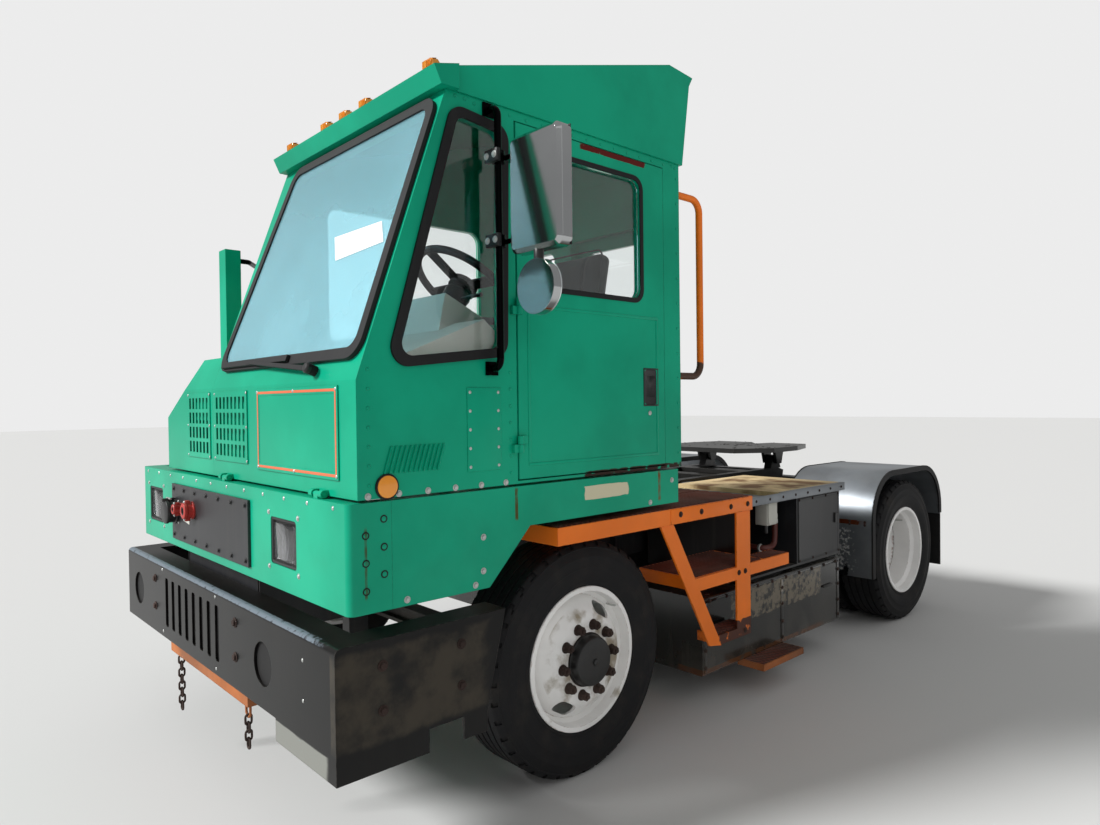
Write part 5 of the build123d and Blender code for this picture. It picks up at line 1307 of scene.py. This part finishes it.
class TRACTOR_OT_chassis_fasteners(bpy.types.Operator):
    """Rivets, bolts and trim of skirts, rails, battery boxes and fenders, and the tanks' straps"""

    bl_idname = "tractor.chassis_fasteners"
    bl_label = "Chassis rivets and bolts"

    def execute(self, context):
        piece = Piece("skirt_rivets", "chassis", "green", "rubber", "screw")
        for x, side in ((side_x, 1), (right_x, -1)):
            seals = [on_x(x, aft(y), z, side) for y, z in SKIRT]
            piece.add(rod((0, 0, 0), (0, 0, 0.0012), 0.0125, sides=20), 1, seals)
            piece.add(rivet(0.0088), 0, [on_x(x + 0.001 * side, aft(y), z, side) for y, z in SKIRT])
            piece.add(bolt(0.0078, 0.006), 2, [on_x(x, aft(y), z, side) for y, z in SKIRT_BOLTS])
        piece.done(slot="green_paint")

        piece = Piece("rail_bolts", "chassis", "axle")
        spots = [(y, z) for y in row(aft(1.95), aft(3.60), 12) for z in (0.715, 0.845)]
        spots += [(y, 0.78) for y in row(aft(-0.85), aft(0.45), 8)]
        piece.add(bolt(0.011, 0.009), 0, [on_x(0.432, y, z) for y, z in spots])
        piece.both_sides()
        piece.done(slot="black_steel")

        piece = Piece("box_trim", "chassis", "gloss_black", "iron", "dark_plastic")
        x = 1.150
        piece.add(block((x - 0.004, aft(0.884), 0.536), (x + 0.0035, aft(2.286), 0.5495), 0.0012))
        ribs = (0.892, 1.62, 2.278)
        for y in ribs:
            piece.add(block((x - 0.002, aft(y) - 0.012, 0.186), (x + 0.003, aft(y) + 0.012, 0.536), 0.001))
        piece.add(bolt(0.0075, 0.006), 1, [on_x(x + 0.003, y, 0.5425) for y in row(aft(0.93), aft(2.25), 10)])
        spots = [(aft(y), z) for y in ribs for z in (0.21, 0.30, 0.40, 0.49)]
        piece.add(bolt(0.0075, 0.006), 1, [on_x(x + 0.003, y, z) for y, z in spots])
        for y in (1.02, 2.14):
            piece.add(block((x - 0.001, aft(y) - 0.055, 0.405), (x + 0.011, aft(y) + 0.055, 0.418), 0.004), 2)
        piece.both_sides()
        piece.done(slot="gloss_black")

        piece = Piece("fender_trim", "chassis", "rubber", "iron", "zinc")
        y0, y1, top, bend = aft(2.620), aft(3.768), 1.060, 0.320
        lines = []
        for out in (0.004, -0.032):
            r = bend + out
            lines.append([(y0 - out, 0.376)] + round_corner(y0 + bend, top - bend, r, 180, 90, 10)
                         + round_corner(y1 - bend, top - bend, r, 90, 0, 10) + [(y1 + out, 0.690)])
        piece.add(band(*lines, 0.011, on_x(1.2152)))
        piece.add(band(*lines, 0.008, on_x(0.602)))
        across = row(0.66, 1.17, 6)
        piece.add(rivet(0.009), 1, [on_front(y0 - 0.0005, x, z) for x in across for z in (0.722, 0.742)])
        piece.add(bolt(0.008, 0.006), 1, [on_back(aft(3.7803), x, 0.72) for x in across])
        piece.add(block((0.62, aft(3.7798), 0.700), (1.206, aft(3.7835), 0.742), 0.001), 2)
        piece.both_sides()
        piece.done(slot="galvanised")

        piece = Piece("tank_straps", "chassis", "zinc", "iron")
        tank_z, strap_r = 0.716, 0.1335
        for x in (-0.640, -0.940):
            for y in (1.32, 1.88):
                ring = [(-0.018, 0.1302), (-0.018, strap_r), (0.018, strap_r), (0.018, 0.1302)]
                piece.add(lathe(ring, (x, aft(y), tank_z), "Y", 48))
                piece.add(bolt(0.008, 0.012), 1, [at(x + strap_r, aft(y), tank_z) @ on_x(0)])
            for y, way in ((1.150, -1), (2.050, 1)):
                plug = [(0, 0), (0, 0.024), (0.008, 0.024), (0.010, 0.016), (0.020, 0.016), (0.020, 0)]
                piece.add(lathe(plug, (x, aft(y) - 0.002 * way, tank_z), "Y", 20, way))
        piece.done(slot="black_steel")
        return {"FINISHED"}


class TRACTOR_OT_equipment_bay(bpy.types.Operator):
    """Junction box, pipe with its fitting, tray edge and door of the cabinet behind the ladder"""

    bl_idname = "tractor.equipment_bay"
    bl_label = "Equipment bay"

    def execute(self, context):
        piece = Piece("junction_box", "chassis", "plastic", "screw", "dark_plastic")
        piece.add(block((1.062, aft(1.492), 0.850), (1.140, aft(1.590), 0.9865), 0.005, 3))
        piece.add(block((1.139, aft(1.496), 0.855), (1.1465, aft(1.586), 0.982), 0.003, 2))
        spots = [(aft(y), z) for y in (1.503, 1.579) for z in (0.863, 0.974)]
        piece.add(bolt(0.004, 0.003, False), 1, [on_x(1.1465, y, z) for y, z in spots])
        piece.add(rod((1.10, aft(1.54), 0.800), (1.10, aft(1.54), 0.851), 0.012, sides=6, round_by=0.001), 2)
        piece.done(slot="dash_plastic")

        piece = Piece("coolant_pipe", "chassis", "pipe_red", "screw")
        line = [(0.60, 1.60, 0.700), (0.96, 1.60, 0.700), (1.055, 1.60, 0.700), (1.055, 1.69, 0.700),
                (1.055, 1.71, 0.740), (1.055, 1.71, 0.840)]
        piece.add(pipe([(x, aft(y), z) for x, y, z in line], 0.017, 16))
        nut = [(0, 0), (0, 0.021), (0.022, 0.021), (0.026, 0.017), (0.030, 0.020), (0.052, 0.020),
               (0.054, 0.010), (0.054, 0)]
        piece.add(lathe(nut, (1.055, aft(1.71), 0.836), "Z", 6), 1)
        collar = [(0, 0), (0, 0.023), (0.012, 0.023), (0.012, 0)]
        piece.add(lathe(collar, (1.02, aft(1.60), 0.700), "X", 12), 1)
        piece.done(slot="black_steel")

        piece = Piece("tray_edge", "chassis", "zinc", "iron")
        x0, x1, y0, y1, top = 0.50, 1.1722, aft(1.284), aft(1.5995), 1.0002
        piece.add(block((x0, y0, top), (x1, y1, top + 0.003), 0.0008))
        piece.add(block((x1 - 0.002, y0, 0.982), (x1 + 0.0015, aft(2.336), 1.0295), 0.001))
        piece.add(block((x0, y0 - 0.0015, 0.982), (x1, y0 + 0.0015, 1.018), 0.001))
        piece.add(block((1.146, aft(1.601), 1.0275), (x1 + 0.0015, aft(2.333), 1.0298), 0.0008))
        piece.add(bolt(0.0055, 0.004), 1, [on_x(x1 + 0.0015, y, 1.005) for y in row(aft(1.33), aft(2.29), 8)])
        piece.done(slot="galvanised")

        piece = Piece("cabinet_door", "chassis", "black", "iron", "dark_plastic")
        door = block((1.149, aft(1.806), 0.600), (1.1545, aft(2.296), 0.972), 0.0)
        outer = [f for f in door.faces if f.normal.x > 0.9]
        bmesh.ops.inset_region(door, faces=outer, thickness=0.016, depth=0)
        bmesh.ops.inset_region(door, faces=outer, thickness=0.003, depth=-0.0022)
        piece.add(soften(door, 0.0012))
        spots = [(aft(y), z) for y in (1.816, 1.97, 2.13, 2.286) for z in (0.609, 0.963)]
        piece.add(bolt(0.0055, 0.004), 1, [on_x(1.1545, y, z) for y, z in spots])
        piece.add(block((1.1515, aft(2.235), 0.785), (1.163, aft(2.262), 0.845), 0.004, 3), 2)
        piece.done(slot="black_steel")
        return {"FINISHED"}


class TRACTOR_OT_back_details(bpy.types.Operator):
    """Rivets and bolts of the cab's back and roof, the hood's latches and the tail lamps' rims"""

    bl_idname = "tractor.back_details"
    bl_label = "Cab back, roof, hood and tail lamp trim"

    def execute(self, context):
        r = looks().rivet_size
        piece = Piece("cab_back_trim", "tilting_cab", "green", "screw", "dark_plastic")
        y = aft(0.520)
        piece.add(rivet(r), 0, [on_back(y, x, roof_line_z) for x in row(0.09, 1.25, 14)])
        piece.add(rivet(r), 0, [on_back(y, 0.075, z) for z in row(1.33, 2.52, 12)])
        piece.add(rivet(r), 0, [on_x(cab_right_x, y - 0.03, z, -1) for z in row(1.80, 2.52, 8)])
        piece.add(bolt(0.008, 0.006), 1, [on_back(y, x, 1.285) for x in row(0.10, 1.24, 9)])
        lines = [[(-x, z) for x, z in rounded(0.130 - out, 1.640 - out, 0.520 + out, 2.330 + out, 0.05 + out)]
                 for out in (0.022, 0.004)]
        piece.add(band(*lines, 0.004, on_back(y), True), 2)
        piece.done(slot="green_paint")

        piece = Piece("roof_trim", "tilting_cab", "green")
        piece.add(rivet(r), 0, [on_x(1.2985, aft(y), 2.592) for y in (-0.70, -0.66, 0.47)])
        piece.done(slot="green_paint")

        piece = Piece("hood_latches", "tilting_cab", "dark_plastic", "screw")
        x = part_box("hood")[0][0]
        for y in (aft(-0.70), aft(-0.05)):
            piece.add(block((x - 0.014, y - 0.022, 1.33), (x + 0.001, y + 0.022, 1.42), 0.004, 3))
            spots = [(y + dy, z) for dy in (-0.035, 0.035) for z in (1.345, 1.405)]
            piece.add(bolt(0.005, 0.004), 1, [on_x(x, a, b, -1) for a, b in spots])
        piece.done(slot="green_paint")

        piece = Piece("tail_lamp_rims", "chassis", "rubber", "screw")
        low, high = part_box("tail_lamps")
        z = (low[2] + high[2]) / 2
        for side in (1, -1):
            x = side * (high[0] - (high[2] - low[2]) / 2)
            ring = [(-0.006, 0.044), (-0.006, 0.051), (0.0015, 0.051), (0.0030, 0.048), (0.0015, 0.044)]
            piece.add(lathe(ring, (x, high[1], z), "Y", 36))
            spots = [(x + dx, z + dz) for dx, dz in ((0.0, 0.03), (0.026, -0.015), (-0.026, -0.015))]
            piece.add(rivet(0.004), 1, [on_back(high[1] - 0.0005, a, b) for a, b in spots])
        piece.done(slot="red_lens")
        return {"FINISHED"}


class TRACTOR_OT_windscreen_trim(bpy.types.Operator):
    """A blank label on the windscreen and the wiper's cap"""

    bl_idname = "tractor.windscreen_trim"
    bl_label = "Windscreen trim and label"

    def execute(self, context):
        k = math.hypot(1, rake)
        piece = Piece("blank_label", "tilting_cab", "label")
        spots = [(0.894, 2.062), (1.217, 2.078), (1.160, 2.160), (0.822, 2.162)]
        piece.add(plate([(x, (z - brow_z) * k) for x, z in spots], 0.0006, on_screen(screen_out, 0, brow_z)))
        piece.done(slot="window_glass")

        piece = Piece("wiper_fittings", "tilting_cab", "dark_plastic", "screw")
        cap = [(0, 0), (0, 0.019), (0.012, 0.019), (0.018, 0.014), (0.019, 0)]
        turn = on_screen(0.001, 1.006, 1.664)
        knob = lathe(cap, (0, 0, 0), "Z", 24)
        piece.add(knob, 0, [turn @ at(0, 0, 0.026)])
        piece.done(slot="black_rubber")
        return {"FINISHED"}


class TRACTOR_OT_cab_inside(bpy.types.Operator):
    """Gauges, the column's shroud with its stalks, and pedals"""

    bl_idname = "tractor.cab_inside"
    bl_label = "Gauges, column and pedals"

    def execute(self, context):
        piece = Piece("gauges", "tilting_cab", "dark_plastic", "chrome", "label", "red_lens")
        # the pod's face looks up and back at the driver
        face = at(0.85, aft(-0.4548), 1.8360) @ turned(-61, "X")
        face = face @ turned(180, "Z")
        piece.add(block((-0.20, -0.038, -0.001), (0.20, 0.038, 0.006), 0.002), 0, [face])
        for x in (-0.155, -0.085, 0.085, 0.155, 0.0):
            r = 0.030
            ring = [(0.005, r - 0.006), (0.005, r), (0.010, r), (0.011, r - 0.003), (0.0085, r - 0.006)]
            piece.add(lathe(ring, (x, 0, 0), "Z", 32), 1, [face])
            piece.add(rod((x, 0, 0.0055), (x, 0, 0.0068), r - 0.0055, sides=32), 0, [face])
            needle = block((-0.0012, 0, 0.0069), (0.0012, r * 0.72, 0.0079))
            dial = face @ at(x, 0, 0)
            piece.add(needle, 3, [dial @ Matrix.Rotation(x * 9, 4, "Z")])
            ticks = [dial @ turned(a, "Z") for a in range(-120, 121, 30)]
            piece.add(block((-0.0006, r * 0.68, 0.0066), (0.0006, r * 0.80, 0.0072)), 2, ticks)
        piece.done(slot="dash_plastic")

        piece = Piece("column_and_pedals", "tilting_cab", "dark_plastic", "rubber", "axle")
        turn = at(0.820, aft(-0.330), 2.040) @ turned(-38, "X")
        shroud = [(-0.205, 0.0302), (-0.205, 0.046), (-0.10, 0.052), (-0.045, 0.058), (-0.036, 0.054),
                  (-0.036, 0.0302)]
        piece.add(lathe(shroud, (0, 0, 0), "Z", 28), 0, [turn])
        for side in (1, -1):
            stalk = rod((side * 0.050, 0, -0.075), (side * 0.165, 0.01, -0.060), 0.006, 0.009, 12, 0.002)
            piece.add(stalk, 0, [turn])
        hub = [(0.0185, 0), (0.0185, 0.052), (0.024, 0.050), (0.030, 0.040), (0.031, 0)]
        piece.add(lathe(hub, (0, 0, 0), "Z", 36), 1, [turn])
        for x, wide in ((0.69, 0.035), (0.93, 0.028)):
            pad = at(x, aft(-0.640), 1.400) @ turned(52, "X")
            piece.add(block((-wide, -0.055, 0), (wide, 0.055, 0.012), 0.004), 1, [pad])
            piece.add(block((-wide + 0.004, -0.002, 0.0115), (wide - 0.004, 0.002, 0.0145), 0.001), 1,
                      [pad @ at(0, dy, 0) for dy in (-0.04, -0.02, 0, 0.02, 0.04)])
            piece.add(rod((x, aft(-0.66), floor_z), (x, aft(-0.645), 1.402), 0.009, sides=12), 2)
        piece.done(slot="black_rubber")
        return {"FINISHED"}


# how far the cloth may move, half the distance of the two sewn channels, their width and depth
PUFF_CAP = 0.014
CHANNEL_X = 0.125
CHANNEL_WIDE = 0.007


def puffed(name, shape, place):
    """A pad blown up by cloth simulation from a slightly smaller closed form, with sewn channels."""
    mesh = bpy.data.meshes.new(name)
    shape.to_mesh(mesh)
    shape.free()
    piece = bpy.data.objects.new(name, mesh)
    bpy.context.scene.collection.objects.link(piece)
    remesh = piece.modifiers.new("remesh", "REMESH")
    remesh.mode = "VOXEL"
    remesh.voxel_size = 0.0095
    bake(piece)
    rest = [v.co.copy() for v in piece.data.vertices]
    cloth = piece.modifiers.new("cloth", "CLOTH")
    cloth.settings.quality = 5
    cloth.settings.use_pressure = True
    cloth.settings.uniform_pressure_force = 4
    cloth.settings.effector_weights.gravity = 0
    cloth.point_cache.frame_start = 1
    cloth.point_cache.frame_end = 20
    for number in range(1, 21):
        bpy.context.scene.frame_set(number)
    bake(piece)
    for vert, was in zip(piece.data.vertices, rest):
        move = vert.co - was
        vert.co = was + move * min(1.0, PUFF_CAP / max(move.length, 1e-6))
    bpy.context.scene.frame_set(1)
    smooth = piece.modifiers.new("smooth", "SUBSURF")
    smooth.levels = smooth.render_levels = 1
    bake(piece)
    for vert in piece.data.vertices:
        across = abs(vert.co.x)
        near = min(abs(across - CHANNEL_X), abs(vert.co.y - 0.02) if across < CHANNEL_X else 1)
        if vert.co.z > 0.02:
            vert.co.z -= CHANNEL_WIDE * math.exp(-(near / CHANNEL_WIDE) ** 2)
    piece.data.transform(place)
    piece.data.materials.append(finish_of("cloth"))
    piece.data.shade_smooth()
    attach(piece, "tilting_cab")
    return piece


class TRACTOR_OT_seat(bpy.types.Operator):
    """Driver's seat: simulated cushion and back, welts, side levers and a sprung base"""

    bl_idname = "tractor.seat"
    bl_label = "Seat"

    def execute(self, context):
        cushion_at = at(0.750, aft(0.030), 1.5853)
        back_at = (at(0.750, aft(0.240), 1.6403) @ turned(-10, "X")
                   @ at(0, 0.050, 0.320) @ turned(90, "X"))
        pad = block((-0.236, -0.236, -0.052), (0.236, 0.236, 0.050), 0.032, 4)
        cushion = puffed("seat_cushion", pad, cushion_at)
        pad = block((-0.226, -0.316, -0.042), (0.226, 0.316, 0.040), 0.032, 4)
        puffed("seat_back", pad, back_at)
        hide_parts("seat")
        piece = Piece("seat_base", "tilting_cab", "dark_plastic", "rubber", "axle")
        piece.add(block((0.530, aft(-0.14), floor_z), (0.970, aft(0.25), 1.318), 0.003), 2)
        for i in range(6):
            z = 1.318 + i * 0.0272
            piece.add(block((0.552, aft(-0.115), z), (0.948, aft(0.225), z + 0.0268), 0.0125, 3), 1)
        piece.add(block((0.515, aft(-0.205), 1.481), (0.985, aft(0.262), 1.5325), 0.010, 3))
        for side in (1, -1):
            x = 0.750 + side * 0.232
            piece.add(block((x - 0.014, aft(0.16), 1.50), (x + 0.014, aft(0.26), 1.66), 0.009, 3))
        piece.add(rod((0.985, aft(0.05), 1.507), (1.000, aft(-0.03), 1.512), 0.006, 0.009, 12, 0.002))
        piece.done(slot="seat_cloth")
        piece = Piece("seat_welts", "tilting_cab", "rubber")
        for place, x, y, z in ((cushion_at, 0.236, 0.236, 0.046), (back_at, 0.226, 0.316, 0.036)):
            line = rounded(-x, -y, x, y, 0.045, 4)
            piece.add(pipe([(a, b, z) for a, b in line + line[:1]], 0.0042, 8), 0, [place])
        piece.done(slot="seat_cloth")
        return {"FINISHED"}


class TRACTOR_OT_coupler_grease(bpy.types.Operator):
    """Clumps of old grease along the edge of the coupler plate"""

    bl_idname = "tractor.coupler_grease"
    bl_label = "Coupler grease"

    def execute(self, context):
        chance = random.Random(7)
        piece = Piece("grease_clumps", "coupler", "grease")
        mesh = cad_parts["coupler_plate"].data
        low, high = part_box("coupler_plate")
        top = high[2]
        rim = [e for e in mesh.edges if all(abs(mesh.vertices[v].co.z - top) < 0.0005 for v in e.vertices)]
        runs = [(mesh.vertices[e.vertices[0]].co.copy(), mesh.vertices[e.vertices[1]].co.copy()) for e in rim]
        runs = [(a, b) for a, b in runs if (a - b).length > 0.02 and abs((a.x + b.x) / 2) > 0.10]
        total = sum((a - b).length for a, b in runs)
        middle = Vector(((low[0] + high[0]) / 2, (low[1] + high[1]) / 2, 0))
        for a, b in runs:
            for _ in range(int(150 * (a - b).length / total)):
                spot = a.lerp(b, chance.random())
                inward = (middle - spot).normalized()
                size = chance.uniform(0.006, 0.019)
                spot += inward * (size * 0.8 + chance.random() ** 2 * 0.09)
                bm = bmesh.new()
                bmesh.ops.create_icosphere(bm, subdivisions=1, radius=size)
                for v in bm.verts:
                    v.co *= chance.uniform(0.65, 1.1)
                    v.co.z *= 0.35
                spot.z = top - 0.0015
                piece.add(bm, 0, [Matrix.Translation(spot)])
        piece.done(slot="grease_steel", smooth=60)
        return {"FINISHED"}


# where the two lights come from, how bright the backdrop looks to the camera, and the camera's
# place, yaw, pitch and roll from the fit to the photograph
KEY_FROM = (-3.0, -6.0, 4.6)
FILL_FROM = (8.0, -2.0, 5.0)
BACKDROP = 0.84
CAMERA_AT = (3.38705, -3.50549, 1.55053)
CAMERA_TURN = (0.82629, -0.01332, -0.01238)


class TRACTOR_OT_stage(bpy.types.Operator):
    """Makes the pale floor, the soft light and the camera"""

    bl_idname = "tractor.stage"
    bl_label = "Floor, light and camera"

    def execute(self, context):
        s = studio()
        scene = context.scene
        scene.view_settings.view_transform = "Standard"
        bm = bmesh.new()
        bmesh.ops.create_grid(bm, x_segments=1, y_segments=1, size=60)
        mesh = bpy.data.meshes.new("floor")
        bm.to_mesh(mesh)
        bm.free()
        floor = bpy.data.objects.new("floor", mesh)
        scene.collection.objects.link(floor)
        t = Tree("studio_floor")
        t.set(Base_Color=list(s.floor_tone), Roughness=0.9)
        mesh.materials.append(t.material)
        self.sky(scene, s)
        self.sun(scene, "key", KEY_FROM, s.key_level, 14)
        self.sun(scene, "fill", FILL_FROM, s.key_level * 0.06, 60)
        self.camera(scene, s)
        return {"FINISHED"}

    def sky(self, scene, s):
        """Even light all round, which the camera sees brighter than it shines."""
        world = bpy.data.worlds.new("studio_sky")
        world.use_nodes = True
        scene.world = world
        tree = world.node_tree
        back = tree.nodes["Background"]
        back.inputs["Color"].default_value = (1, 1, 1, 1)
        path = tree.nodes.new("ShaderNodeLightPath")
        seen = tree.nodes.new("ShaderNodeMath")
        seen.operation = "MAXIMUM"
        tree.links.new(path.outputs["Is Camera Ray"], seen.inputs[0])
        tree.links.new(path.outputs["Is Transmission Ray"], seen.inputs[1])
        level = tree.nodes.new("ShaderNodeMapRange")
        level.inputs["To Min"].default_value = s.sky_level
        level.inputs["To Max"].default_value = BACKDROP
        tree.links.new(seen.outputs[0], level.inputs["Value"])
        tree.links.new(level.outputs[0], back.inputs["Strength"])

    def sun(self, scene, name, where, strength, wide):
        """A soft sun that shines from a place to the origin, wide in degrees."""
        data = bpy.data.lights.new(name, "SUN")
        data.energy = strength
        data.angle = math.radians(wide)
        lamp = bpy.data.objects.new(name, data)
        lamp.location = where
        lamp.rotation_mode = "QUATERNION"
        lamp.rotation_quaternion = (-Vector(where)).to_track_quat("-Z", "Y")
        scene.collection.objects.link(lamp)

    def camera(self, scene, s):
        """The photograph's viewpoint."""
        yaw, pitch, roll = CAMERA_TURN
        forward = Vector((-math.sin(yaw) * math.cos(pitch), math.cos(yaw) * math.cos(pitch), math.sin(pitch)))
        level = Vector((math.cos(yaw), math.sin(yaw), 0))
        upright = level.cross(forward)
        right = level * math.cos(roll) + upright * math.sin(roll)
        up = upright * math.cos(roll) - level * math.sin(roll)
        data = bpy.data.cameras.new("camera")
        data.sensor_width = 36
        data.lens = s.lens
        camera = bpy.data.objects.new("camera", data)
        turn = Matrix((right, up, -forward)).transposed().to_4x4()
        camera.matrix_world = at(*CAMERA_AT) @ turn
        scene.collection.objects.link(camera)
        scene.camera = camera


STEPS = [TRACTOR_OT_finishes, TRACTOR_OT_tyres, TRACTOR_OT_wheels, TRACTOR_OT_front_fasteners,
         TRACTOR_OT_headlamps, TRACTOR_OT_service_plate, TRACTOR_OT_gratings, TRACTOR_OT_cab_fasteners,
         TRACTOR_OT_marker_lamps, TRACTOR_OT_mirrors, TRACTOR_OT_cover_panel, TRACTOR_OT_rail_feet,
         TRACTOR_OT_chassis_fasteners, TRACTOR_OT_equipment_bay, TRACTOR_OT_back_details,
         TRACTOR_OT_windscreen_trim, TRACTOR_OT_cab_inside, TRACTOR_OT_seat, TRACTOR_OT_coupler_grease,
         TRACTOR_OT_stage]


class TRACTOR_PT_panel(bpy.types.Panel):
    """Lists the tractor's pieces and its studio"""

    bl_idname = "TRACTOR_PT_panel"
    bl_label = "Yard tractor"
    bl_space_type = "VIEW_3D"
    bl_region_type = "UI"
    bl_category = "Yard tractor"

    def draw(self, context):
        for group in (looks(), studio()):
            for key in group.bl_rna.properties.keys():
                if key not in ("rna_type", "name"):
                    self.layout.prop(group, key)
        for step in STEPS:
            self.layout.operator(step.bl_idname)


CLASSES = [TractorLooks, StudioLooks, *STEPS, TRACTOR_PT_panel]


def register():
    for item in CLASSES:
        bpy.utils.register_class(item)
    bpy.types.Scene.tractor_looks = bpy.props.PointerProperty(type=TractorLooks)
    bpy.types.Scene.studio_looks = bpy.props.PointerProperty(type=StudioLooks)


def unregister():
    del bpy.types.Scene.studio_looks
    del bpy.types.Scene.tractor_looks
    for item in reversed(CLASSES):
        bpy.utils.unregister_class(item)


def main():
    register()
    for step in STEPS:
        group, call = step.bl_idname.split(".")
        getattr(getattr(bpy.ops, group), call)()


if __name__ == "__main__":
    main()
